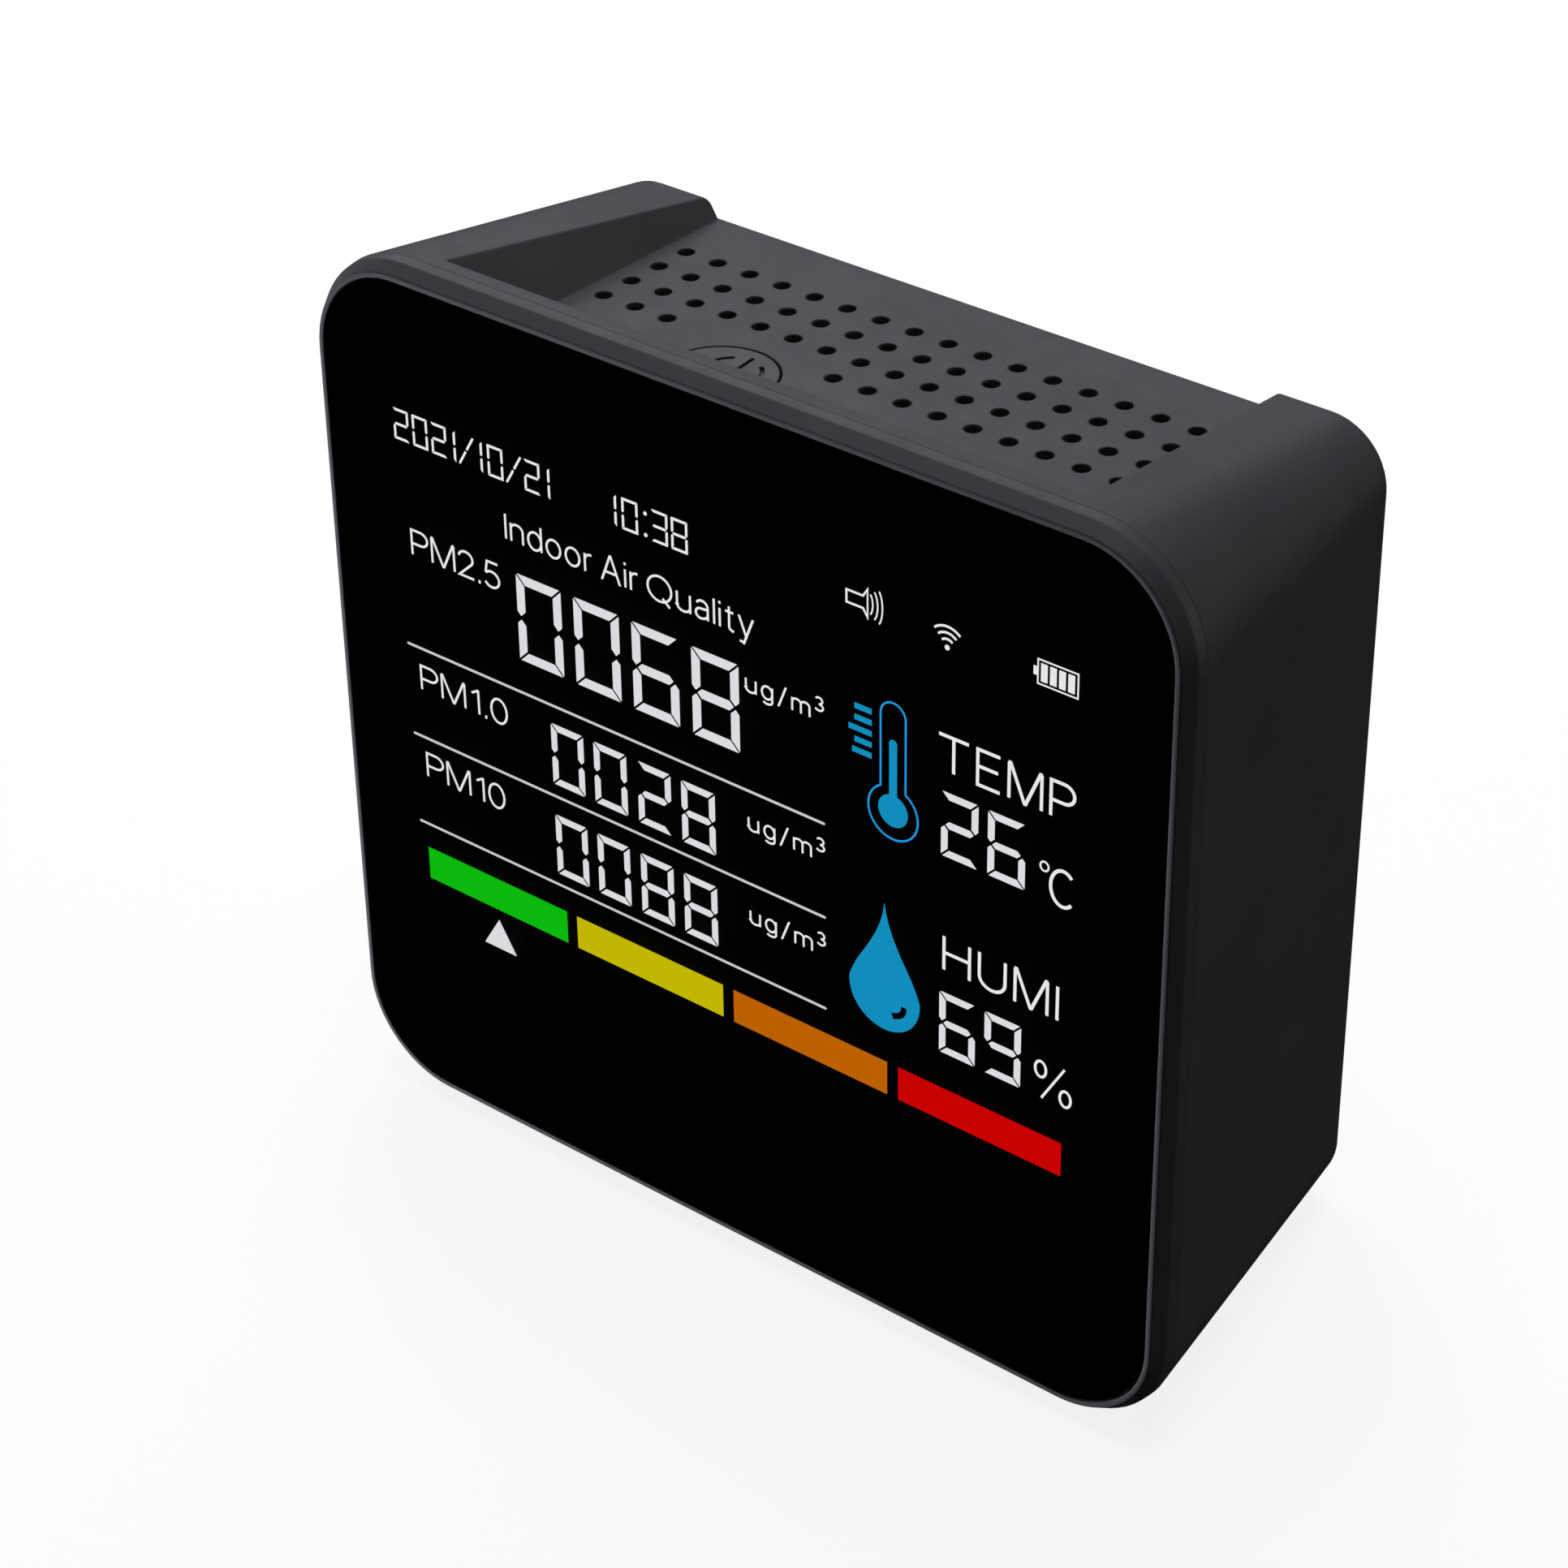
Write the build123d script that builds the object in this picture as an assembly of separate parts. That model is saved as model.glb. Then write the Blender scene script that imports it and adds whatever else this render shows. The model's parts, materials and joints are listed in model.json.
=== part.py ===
"""Desktop air quality monitor: a tapered two-part case around a segment display, a board and its sensors.

Every piece is drawn in the frame of the display glass: the origin is the centre of the glass's outer
face, +X is right, +Y runs back into the case and +Z is up the glass. The case narrows towards the back,
so it stands on a sloping underside and the glass leans back by the taper angle. placed() turns the
pieces into that standing position, with the feet at Z = 0 and the origin below the middle of the object.
All sizes are in millimetres.
"""

import os
from math import cos, radians, sin, tan

from build123d import *

# Cover glass
GLASS_W = 82.0
GLASS_H = 76.8
GLASS_R = 8.1
GLASS_T = 1.1
GLASS_GAP = 0.08

# Case: "grow" is how far an outline lies outside the edge of the glass
DEPTH = 32.2
TAPER = 8.1
LIP_GROW = 0.52
CHAMFER_DEPTH = 1.15
CHAMFER_GROW = 1.27
SEAM_DEPTH = 2.1
SEAM_GROW = 1.40
BACK_ROUNDING = 1.0
WALL = 1.8
BACK_WALL = 1.6
SLOPE = tan(radians(TAPER))

# Recess in the top, between two ridges
FLOOR_Z = 33.77
FLOOR_T = 1.5
RECESS_FRONT = 3.85
RECESS_HALF = 27.1
RECESS_LEAN = 0.62
RECESS_TALL = 10.0
EDGE_ROUNDING = 0.3

# Grille in the recess floor
GRILLE_PITCH_X = 3.345
GRILLE_PITCH_Y = 3.366
GRILLE_COLUMNS = 16
GRILLE_ROWS = 4
GRILLE_FIRST_ROW = 15.56
GRILLE_HOLE_R = 0.72
GRILLE_SKIPPED = range(3, 7)

# Button
BUTTON_X = -8.95
BUTTON_Y = 10.73
BUTTON_R = 4.6
BUTTON_HOLE_R = 4.82
BUTTON_DISH_R = 40.0
BUTTON_DISH_DEPTH = 0.22
MARK_R = 2.4
MARK_W = 0.34
MARK_DEPTH = 0.2
BUTTON_TRAVEL = 0.4
BUTTON_EAR_W = 12.6
BUTTON_EAR_D = 3.0
BUTTON_EAR_T = 0.6
BUTTON_STEM_R = 1.5

# Display stack, from the glass backwards
MASK_T = 0.05
TAPE_T = 0.2
WINDOW_W = 70.5
WINDOW_H = 53.3
DISPLAY_Z = 3.24
POLARIZER_FRONT = 1.2
POLARIZER_T = 0.2
LCD_W = 72.0
LCD_H = 54.2
LCD_T = 1.8
BACKLIGHT_T = 2.6
HOLDER_WALL = 0.6
HOLDER_BACK_T = 1.2
FIT = 0.1

# Main board
BOARD_T = 1.6
BOARD_W = 75.0
BOARD_TOP = 30.2
BOARD_BOTTOM = -33.5
BOARD_SCREWS = [(-19.0, -30.5), (0.0, -30.5), (19.0, -30.5)]
POST_R = 2.2

# Case screws and snap hooks
CASE_SCREWS = [(-30.5, -28.0), (30.5, -28.0)]
BOSS_R = 2.6
SCREW_R = 1.0
SCREW_HEAD_R = 1.9
SCREW_HEAD_T = 0.9
SCREW_SUNK = 1.0
THREAD_GAP = 0.02
TONGUE_BACK = 5.5
TONGUE_T = 1.2
HOOK_Z = [-18.0, 18.0]

# Particle sensor module
SENSOR_W = 48.0
SENSOR_H = 37.0
SENSOR_Z = 11.5
SENSOR_FRONT = 18.4
SENSOR_BACK = 30.4
SENSOR_WALL = 1.2
FAN_X = 12.0
FAN_Z = 17.5
FAN_R = 9.4
FAN_BLADES = 11
FAN_SHAFT_R = 0.8
FAN_CLEARANCE = 0.05
SENSOR_SOCKET_X = -15.0
SENSOR_SOCKET_Z = -10.4

# Climate sensor, behind slots in the back
CLIMATE_X = 30.4
CLIMATE_Z = 12.0
CLIMATE_SOCKET_Z = 9.0
VENT_PITCH = 1.9
VENT_COUNT = 5

# Battery, feet and socket
BATTERY_W = 50.0
BATTERY_H = 24.0
BATTERY_T = 8.0
BATTERY_Z = -21.2
BATTERY_SOCKET_X = -20.0
BATTERY_SOCKET_Z = -18.7
FOOT_R = 4.0
FOOT_T = 1.3
FOOT_SUNK = 0.5
FOOT_PLACES = [(-28.0, 7.5), (28.0, 7.5), (-28.0, 25.0), (28.0, 25.0)]
USB_W = 8.94
USB_T = 3.2
USB_L = 7.3
USB_WALL = 0.3
USB_Z = -10.0

# Depths that follow from the stack
TAPE_FRONT = GLASS_T + MASK_T
SEAT_DEPTH = TAPE_FRONT + TAPE_T
LCD_FRONT = POLARIZER_FRONT + POLARIZER_T
LCD_BACK = LCD_FRONT + LCD_T
BACKLIGHT_BACK = LCD_BACK + BACKLIGHT_T
BOARD_FRONT = BACKLIGHT_BACK + HOLDER_BACK_T
BOARD_BACK = BOARD_FRONT + BOARD_T
BACK_INSIDE = DEPTH - BACK_WALL
HOLDER_W = LCD_W + 2 * (FIT + HOLDER_WALL)
HOLDER_H = LCD_H + 2 * (FIT + HOLDER_WALL)
FLOOR_UNDER = FLOOR_Z - FLOOR_T
SWITCH_Y = BOARD_BACK + 1.7
STEM_END = 29.6


def facing(depth, x=0.0, z=0.0):
    """A plane parallel to the glass at this depth, looking out of the front."""
    return Plane(origin=(x, depth, z), x_dir=(1, 0, 0), z_dir=(0, -1, 0))


def grow_at(depth):
    """How far the outside of the case lies beyond the glass edge at a depth behind the seam."""
    return SEAM_GROW - SLOPE * (depth - SEAM_DEPTH)


def section(depth, grow):
    """Rounded outline parallel to the glass."""
    outline = RectangleRounded(GLASS_W + 2 * grow, GLASS_H + 2 * grow, GLASS_R + grow)
    return facing(depth) * outline


def slab(width, height, front, back, x=0.0, z=0.0, radius=0.0):
    """Plate parallel to the glass, from one depth to another."""
    outline = RectangleRounded(width, height, radius) if radius else Rectangle(width, height)
    return extrude(facing(back, x, z) * outline, back - front)


def block(x0, x1, y0, y1, z0, z1):
    """Box from its lowest and highest corners."""
    middle = ((x0 + x1) / 2, (y0 + y1) / 2, (z0 + z1) / 2)
    return Pos(*middle) * Box(x1 - x0, y1 - y0, z1 - z0)


def rod(radius, front, back, x, z):
    """Cylinder along Y."""
    return extrude(facing(back, x, z) * Circle(radius), back - front)


def post(radius, low, high, x, y):
    """Cylinder along Z."""
    return Pos(x, y, (low + high) / 2) * Cylinder(radius, high - low)


def bar(radius, x0, x1, y, z):
    """Cylinder along X."""
    return Pos((x0 + x1) / 2, y, z) * Rot(0, 90, 0) * Cylinder(radius, x1 - x0)


def together(shapes):
    """Separate solids, kept as one node."""
    return Compound(children=[solid for shape in shapes for solid in shape.solids()])


def underside(x, depth):
    """Place on the sloping underside, with local Z pointing out of the case."""
    z = -(GLASS_H / 2 + grow_at(depth))
    return Pos(x, depth, z) * Rot(180 + TAPER, 0, 0)


def pan_screw(x, z, head_front, length):
    """Pan head screw driven towards the glass, with a cross recess in its head."""
    head = rod(SCREW_HEAD_R, head_front, head_front + SCREW_HEAD_T, x, z)
    head = fillet(head.edges().sort_by(Axis.Y)[-1], 0.4)
    shank = rod(SCREW_R, head_front - length, head_front, x, z)
    cross_front = head_front + SCREW_HEAD_T - 0.6
    cross = slab(2.2, 0.5, cross_front, cross_front + 1.0, x, z)
    cross += slab(0.5, 2.2, cross_front, cross_front + 1.0, x, z)
    return head + shank - cross


# ---------------------------------------------------------------- front of the case


def front_glass():
    plate = slab(GLASS_W, GLASS_H, 0.0, GLASS_T, radius=GLASS_R)
    return chamfer(plate.faces().sort_by(Axis.Y)[0].edges(), 0.15)


def mask_print():
    film = slab(GLASS_W - 0.4, GLASS_H - 0.4, GLASS_T, TAPE_FRONT, radius=GLASS_R - 0.2)
    return film - slab(WINDOW_W, WINDOW_H, GLASS_T - 1, TAPE_FRONT + 1, z=DISPLAY_Z)


def lens_adhesive():
    outer = slab(GLASS_W - 1, GLASS_H - 1, TAPE_FRONT, SEAT_DEPTH, radius=GLASS_R - 0.5)
    inner_w = HOLDER_W + 2 * FIT + 1.0
    inner_h = HOLDER_H + 2 * FIT + 0.6
    return outer - slab(inner_w, inner_h, TAPE_FRONT - 1, SEAT_DEPTH + 1, z=DISPLAY_Z)


def front_frame():
    levels = [(0.0, LIP_GROW), (CHAMFER_DEPTH, CHAMFER_GROW), (SEAM_DEPTH, SEAM_GROW)]
    frame = loft([section(depth, grow) for depth, grow in levels], ruled=True)
    frame -= slab(
        GLASS_W + 2 * GLASS_GAP, GLASS_H + 2 * GLASS_GAP, -1.0, SEAT_DEPTH, radius=GLASS_R + GLASS_GAP
    )
    frame += tongue()
    for x, z in CASE_SCREWS:
        frame += rod(BOSS_R, SEAM_DEPTH, BACK_INSIDE, x, z)
    for x, z in BOARD_SCREWS:
        frame += rod(POST_R, SEAM_DEPTH, BOARD_FRONT, x, z)
    frame -= slab(HOLDER_W + 2 * FIT, HOLDER_H + 2 * FIT, 0.0, BOARD_FRONT, z=DISPLAY_Z)
    for x, z in CASE_SCREWS:
        frame -= rod(SCREW_R + THREAD_GAP, BACK_INSIDE - 9.0, BACK_INSIDE, x, z)
    for x, z in BOARD_SCREWS:
        frame -= rod(SCREW_R + THREAD_GAP, SEAM_DEPTH + 0.4, BOARD_FRONT, x, z)
    return frame


def tongue():
    """Wall behind the frame that slides into the shell, with snap hooks on its sides."""
    back_drop = SLOPE * (TONGUE_BACK - SEAM_DEPTH)
    outside = SEAM_GROW - WALL - FIT
    inside = outside - TONGUE_T
    wall = loft([section(SEAM_DEPTH, outside), section(TONGUE_BACK, outside - back_drop)], ruled=True)
    wall -= loft([section(SEAM_DEPTH, inside), section(TONGUE_BACK, inside - back_drop)], ruled=True)
    wall -= block(-34.5, 34.5, 0.0, 10.0, 28.0, 45.0)
    for side in (-1, 1):
        edge = GLASS_W / 2 + outside - 0.35
        for z in HOOK_Z:
            inner, outer = sorted((side * (edge - 0.4), side * (edge + 0.6)))
            wall += block(inner, outer, 3.8, 4.8, z - 3, z + 3)
    return wall


# ---------------------------------------------------------------- display


def lcd_polarizer():
    back = POLARIZER_FRONT + POLARIZER_T
    return slab(LCD_W - 0.8, LCD_H - 0.4, POLARIZER_FRONT, back, z=DISPLAY_Z)


def lcd_glass():
    """Two bonded panes, the rear one longer at the bottom for its contacts."""
    middle = LCD_FRONT + LCD_T / 2
    front_pane = slab(LCD_W, LCD_H - 2.4, LCD_FRONT, middle, z=DISPLAY_Z + 1.2)
    return front_pane + slab(LCD_W, LCD_H, middle, LCD_BACK, z=DISPLAY_Z)


def backlight():
    """Light guide with a row of pockets for the lamps along its lower edge."""
    guide = slab(LCD_W, LCD_H, LCD_BACK, BACKLIGHT_BACK, z=DISPLAY_Z)
    low = DISPLAY_Z - LCD_H / 2
    for number in range(-3, 4):
        guide -= slab(3.0, 1.6, LCD_BACK + 0.6, BACKLIGHT_BACK - 0.6, x=9.5 * number, z=low)
    return guide


def lcd_holder():
    """Tray round the display, with two clips that hold the top edge of the board."""
    tray = slab(HOLDER_W, HOLDER_H, LCD_FRONT + 0.3, BOARD_FRONT, z=DISPLAY_Z)
    tray -= slab(LCD_W + 2 * FIT, LCD_H + 2 * FIT, 0.0, BACKLIGHT_BACK, z=DISPLAY_Z)
    for x in (-22.0, 22.0):
        tray -= slab(34.0, 40.0, BACKLIGHT_BACK - 1, BOARD_FRONT + 1, x=x, z=DISPLAY_Z, radius=2.0)
    top = DISPLAY_Z + HOLDER_H / 2
    for x in (-26.0, 26.0):
        tray += block(x - 3, x + 3, BOARD_FRONT - 1.2, BOARD_BACK + 1.0, BOARD_TOP + 0.05, top)
        tray += block(x - 3, x + 3, BOARD_BACK + 0.05, BOARD_BACK + 1.0, BOARD_TOP - 0.6, top)
    return tray


def strip(points, radii, thickness, width, x):
    """Flat flexible strip: a bent line in the YZ plane, given thickness and width along X."""
    line = FilletPolyline(*[(y, z) for y, z in points], radius=radii)
    profile = Plane(origin=(x - width / 2, 0, 0), x_dir=(0, 1, 0), z_dir=(1, 0, 0)) * trace(line, thickness)
    return extrude(profile, width, dir=(1, 0, 0))


def lcd_flex():
    """Flex that folds from the rear pane's contacts round the tray onto the board."""
    low = DISPLAY_Z - HOLDER_H / 2
    return strip([(LCD_BACK + 0.3, low - 0.5), (LCD_BACK + 0.3, low - 3.0), (BOARD_FRONT - 0.1, low - 3.0)],
                 [0.8], 0.15, 24.0, 0.0)


# ---------------------------------------------------------------- main board


def main_board():
    height, middle = BOARD_TOP - BOARD_BOTTOM, (BOARD_TOP + BOARD_BOTTOM) / 2
    board = slab(BOARD_W, height, BOARD_FRONT, BOARD_BACK, z=middle, radius=1.5)
    for x, z in CASE_SCREWS:
        board -= rod(BOSS_R + 0.4, 0.0, DEPTH, x, z)
    for x, z in BOARD_SCREWS:
        board -= rod(SCREW_R + 0.1, 0.0, DEPTH, x, z)
    return board


def chip(width, height, thickness, x, z):
    """Moulded chip on the back of the board, with its pin 1 mark sunk in one corner."""
    body = slab(width, height, BOARD_BACK, BOARD_BACK + thickness, x, z)
    top = BOARD_BACK + thickness
    return body - rod(0.3, top - 0.1, top + 1, x - width / 2 + 0.7, z + height / 2 - 0.7)


def mcu_chip():
    """Flat package with a row of leads on each side."""
    x, z, size = 4.0, -2.0, 10.0
    body = chip(size, size, 1.4, x, z)
    for number in range(-5, 6):
        step = 0.8 * number
        body += slab(size + 2.0, 0.35, BOARD_BACK, BOARD_BACK + 0.3, x, z + step)
        body += slab(0.35, size + 2.0, BOARD_BACK, BOARD_BACK + 0.3, x + step, z)
    return body


def wireless_module():
    """Small carrier board with a shield can and a folded antenna strip."""
    carrier = slab(16.0, 20.0, BOARD_BACK, BOARD_BACK + 0.8, -27.0, 12.0)
    can = slab(14.0, 13.0, BOARD_BACK + 0.8, BOARD_BACK + 3.0, -27.0, 9.0, radius=0.6)
    module = carrier + can
    for number in range(4):
        x = -32.0 + 2.6 * number
        module += slab(0.8, 4.0, BOARD_BACK + 0.8, BOARD_BACK + 0.9, x, 19.0)
    return module


def board_chips():
    places = [
        (5.0, 4.0, 1.5, -12.0, -5.0),
        (6.0, 5.0, 1.5, 16.0, 4.0),
        (3.0, 3.0, 1.0, 27.0, 2.0),
        (3.0, 3.0, 1.0, -28.0, -16.0),
        (2.9, 1.6, 1.1, -20.0, -4.0),
        (2.9, 1.6, 1.1, 12.0, -10.0),
    ]
    return together([chip(*place) for place in places])


def board_capacitors():
    """Electrolytic cans with a crimped groove near the board."""
    cans = []
    for x, z in ((-14.0, 4.0), (22.0, 24.0), (22.0, 17.0), (-31.0, -20.0)):
        can = rod(2.5, BOARD_BACK, BOARD_BACK + 5.4, x, z)
        groove = rod(3.0, BOARD_BACK + 1.2, BOARD_BACK + 1.6, x, z) - rod(2.3, 0.0, DEPTH, x, z)
        cans.append(can - groove)
    return together(cans)


def pin_socket(x, z, pins, pitch, depth):
    """Open topped socket on the back of the board, with one pin for each wire."""
    width = pitch * pins + 2.0
    shell = slab(width, 4.2, BOARD_BACK, BOARD_BACK + depth, x, z)
    shell -= slab(width - 1.2, 3.0, BOARD_BACK + 1.0, BOARD_BACK + depth + 1, x, z)
    for number in range(pins):
        offset = pitch * (number - (pins - 1) / 2)
        shell += slab(0.4, 0.4, BOARD_BACK + 1.0, BOARD_BACK + depth - 0.8, x + offset, z)
    return shell


def usb_socket():
    """Metal shell of the charging socket, open towards the left side wall."""
    y = BOARD_BACK + USB_T / 2
    mouth = -(GLASS_W / 2 + grow_at(y) - WALL - FIT)
    shell = RectangleRounded(USB_W, USB_T, USB_T / 2 - 0.05)
    bore = RectangleRounded(USB_W - 2 * USB_WALL, USB_T - 2 * USB_WALL, USB_T / 2 - USB_WALL - 0.05)
    plane = Plane(origin=(mouth, y, USB_Z), x_dir=(0, 0, 1), z_dir=(1, 0, 0))
    socket = extrude(plane * shell, USB_L) - extrude(plane * bore, USB_L - 1.0)
    for side in (-1, 1):
        z = USB_Z + side * (USB_W / 2 - 1.0)
        socket += block(mouth + 2.6, mouth + 4.0, BOARD_BACK, BOARD_BACK + 0.4, z - 0.6, z + 0.6)
    return socket


def usb_tongue():
    y = BOARD_BACK + USB_T / 2
    mouth = -(GLASS_W / 2 + grow_at(y) - WALL - FIT)
    return block(mouth + 0.8, mouth + USB_L - 1.0, y - 0.35, y + 0.35, USB_Z - 3.3, USB_Z + 3.3)


def buzzer():
    """Round buzzer with its sound hole."""
    can = rod(6.0, BOARD_BACK, BOARD_BACK + 5.0, 20.0, -17.0)
    can = fillet(can.edges().sort_by(Axis.Y)[-1], 0.5)
    return can - rod(1.0, BOARD_BACK + 3.8, BOARD_BACK + 6.0, 20.0, -17.0)


def button_switch():
    """Side-pressed switch: a body on the board with a guide hole for its plunger."""
    body = block(BUTTON_X - 3.0, BUTTON_X + 3.0, BOARD_BACK, SWITCH_Y + 1.7, 24.4, 28.4)
    body -= post(1.0 + FAN_CLEARANCE, 27.0, 29.0, BUTTON_X, SWITCH_Y)
    for side in (-1, 1):
        x = BUTTON_X + side * 3.3
        body += block(x - 0.35, x + 0.35, BOARD_BACK, BOARD_BACK + 0.4, 25.0, 27.8)
    return body


def switch_plunger():
    return post(1.0, 27.0 + BUTTON_TRAVEL + 0.1, STEM_END, BUTTON_X, SWITCH_Y)


def board_screws():
    return together([pan_screw(x, z, BOARD_BACK, 4.5) for x, z in BOARD_SCREWS])


# ---------------------------------------------------------------- particle sensor


def sensor_case():
    """Tray of the sensor module, with a chamber for the fan and inlets in its top."""
    left, top, low = -SENSOR_W / 2, SENSOR_Z + SENSOR_H / 2, SENSOR_Z - SENSOR_H / 2
    front = SENSOR_FRONT + 0.4
    case = slab(SENSOR_W, SENSOR_H, front, SENSOR_BACK, z=SENSOR_Z, radius=1.0)
    inner_w = SENSOR_W - 2 * SENSOR_WALL
    inner_h = SENSOR_H - 2 * SENSOR_WALL
    case -= slab(inner_w, inner_h, front - 1, SENSOR_BACK - SENSOR_WALL, z=SENSOR_Z)
    fan_left = FAN_X - FAN_R - 1.8
    fan_low = FAN_Z - FAN_R - 1.8
    case += block(fan_left - 1.0, fan_left, front, SENSOR_BACK - 0.6, fan_low, top - 0.6)
    case += block(fan_left - 1.0, -left - 0.6, front, SENSOR_BACK - 0.6, fan_low - 1.0, fan_low)
    for number in range(5):
        x = left + 4.0 + 3.0 * number
        case -= block(x, x + 1.8, front + 2.4, SENSOR_BACK - 3.0, top - 2.0, top + 1.0)
    case -= block(FAN_X - 6.0, FAN_X + 6.0, front + 2.0, SENSOR_BACK - 3.0, top - 2.0, top + 1.0)
    case -= block(-21.0, -9.0, front - 1, front + 3.4, low - 1, low + 2)
    return case


def sensor_lid():
    """Metal shield over the open side of the sensor."""
    plate = slab(SENSOR_W, SENSOR_H, SENSOR_FRONT, SENSOR_FRONT + 0.4, z=SENSOR_Z, radius=1.0)
    return plate - slab(12.0, 1.0, 0.0, DEPTH, x=8.0, z=SENSOR_Z - SENSOR_H / 2 + 4.0, radius=0.4)


def sensor_board():
    """Board of the sensor, beside and below the fan chamber."""
    back = SENSOR_BACK - SENSOR_WALL
    low = SENSOR_Z - SENSOR_H / 2 + SENSOR_WALL
    side = block(-22.6, FAN_X - FAN_R - 3.0, back - 1.0, back, low + 0.2, low + 33.4)
    return side + block(FAN_X - FAN_R - 4.0, 22.6, back - 1.0, back, low + 0.2, low + 10.8)


def laser_module():
    """Brass barrel with a narrower lens end."""
    return bar(2.8, -20.0, -12.0, 24.6, 6.0) + bar(1.8, -12.0, -10.0, 24.6, 6.0)


def photodiode():
    back = SENSOR_BACK - SENSOR_WALL - 1.0
    body = block(-7.0, -2.0, back - 2.4, back, 4.0, 8.0)
    return body - rod(1.2, back - 3.0, back - 2.0, -4.5, 6.0)


def fan_frame():
    """Square fan housing with a round bore, open at the top, and a bearing tube on its base."""
    front, back = SENSOR_FRONT + 1.2, SENSOR_BACK - SENSOR_WALL - 0.2
    size = 2 * (FAN_R + 1.0)
    frame = slab(size, size, front, back, FAN_X, FAN_Z, radius=1.5)
    frame -= rod(FAN_R, front - 1, back - 1.0, FAN_X, FAN_Z)
    frame -= block(FAN_X - 5.5, FAN_X + 5.5, front + 1.0, back - 1.0, FAN_Z, FAN_Z + size)
    frame += rod(2.0, front + 2.6, back - 0.5, FAN_X, FAN_Z)
    return frame - rod(FAN_SHAFT_R + FAN_CLEARANCE, front, back - 0.5, FAN_X, FAN_Z)


def fan_coils():
    """Four wound poles round the bearing tube."""
    front, back = SENSOR_FRONT + 4.2, SENSOR_BACK - SENSOR_WALL - 1.2
    ring = rod(3.0, front, back, FAN_X, FAN_Z)
    for number in range(4):
        turned = Pos(FAN_X, 0, FAN_Z) * Rot(0, 90 * number + 45, 0)
        ring += turned * block(2.4, 4.3, front + 0.6, back - 0.6, -1.1, 1.1)
    return ring - rod(2.02, 0.0, DEPTH, FAN_X, FAN_Z)


def fan_rotor():
    """Cup with curved blades round it, on a shaft that turns in the bearing tube."""
    front, back = SENSOR_FRONT + 1.6, SENSOR_BACK - SENSOR_WALL - 1.9
    rotor = rod(5.4, front, back, FAN_X, FAN_Z) - rod(4.7, front + 0.8, DEPTH, FAN_X, FAN_Z)
    rotor += rod(FAN_SHAFT_R, front, back - 0.2, FAN_X, FAN_Z)
    blade = Pos(7.1, 0, 0) * Rot(0, 24, 0) * block(-1.8, 1.8, front + 0.2, back - 0.2, -0.25, 0.25)
    for number in range(FAN_BLADES):
        rotor += Pos(FAN_X, 0, FAN_Z) * Rot(0, 360 / FAN_BLADES * number, 0) * blade
    return rotor


def inlet_gasket():
    """Foam frame between the sensor's inlets and the underside of the grille."""
    low = SENSOR_Z + SENSOR_H / 2
    high = FLOOR_UNDER - 0.2
    ring = block(-24.0, 24.0, SENSOR_FRONT + 0.4, SENSOR_BACK, low, high)
    return ring - block(-22.0, 22.0, SENSOR_FRONT + 2.0, SENSOR_BACK - 1.6, low - 1, high + 1)


# ---------------------------------------------------------------- climate sensor, power and wiring


def climate_board():
    board = slab(9.0, 16.0, 27.6, 28.6, x=CLIMATE_X, z=CLIMATE_Z, radius=0.6)
    return board - rod(0.8, 0.0, DEPTH, CLIMATE_X + 3.2, CLIMATE_Z + 6.6)


def climate_chip():
    """Sensor chip with its small round opening, facing the slots in the back."""
    body = slab(3.0, 3.0, 28.6, 29.6, x=CLIMATE_X, z=CLIMATE_Z)
    return body - rod(0.6, 29.3, 30.0, CLIMATE_X, CLIMATE_Z)


def climate_cable():
    low = CLIMATE_Z - 5.0
    points = [(27.6, low), (22.0, low), (18.0, CLIMATE_SOCKET_Z), (BOARD_BACK + 3.3, CLIMATE_SOCKET_Z)]
    return strip(points, [3.0, 3.0], 0.6, 4.2, CLIMATE_X)


def battery_cell():
    """Soft pack cell with rounded long edges."""
    back = BACK_INSIDE - 0.4
    cell = slab(BATTERY_W, BATTERY_H, back - BATTERY_T, back, z=BATTERY_Z)
    return fillet(cell.edges().filter_by(Axis.X), 1.8)


def battery_tape():
    return slab(40.0, 16.0, BACK_INSIDE - 0.4, BACK_INSIDE, z=BATTERY_Z)


def battery_guard():
    """Protection board across the end of the cell."""
    left = -BATTERY_W / 2
    return block(left - 1.6, left, 23.6, 29.6, BATTERY_Z - 3.0, BATTERY_Z + 9.0)


def battery_leads():
    """Two leads from the protection board forward to the battery socket."""
    leads = []
    for offset in (-0.8, 0.8):
        z = BATTERY_SOCKET_Z + offset
        pin = BATTERY_SOCKET_X + 1.25 * offset
        points = [(-25.8, 23.6, z), (-25.8, 18.0, z), (pin, 15.0, z), (pin, BOARD_BACK + 3.8, z)]
        path = FilletPolyline(*points, radius=[2.6, 1.6])
        first = Plane(origin=path @ 0, z_dir=path % 0)
        leads.append(sweep(first * Circle(0.55), path=path))
    return together(leads)


def sensor_cable():
    """Flat cable from the lower side of the sensor to the board."""
    low = SENSOR_Z - SENSOR_H / 2
    points = [(20.6, low + 1.0), (20.6, SENSOR_SOCKET_Z), (BOARD_BACK + 3.3, SENSOR_SOCKET_Z)]
    return strip(points, [1.6], 0.8, 9.6, SENSOR_SOCKET_X)


# ---------------------------------------------------------------- rear of the case


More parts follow.
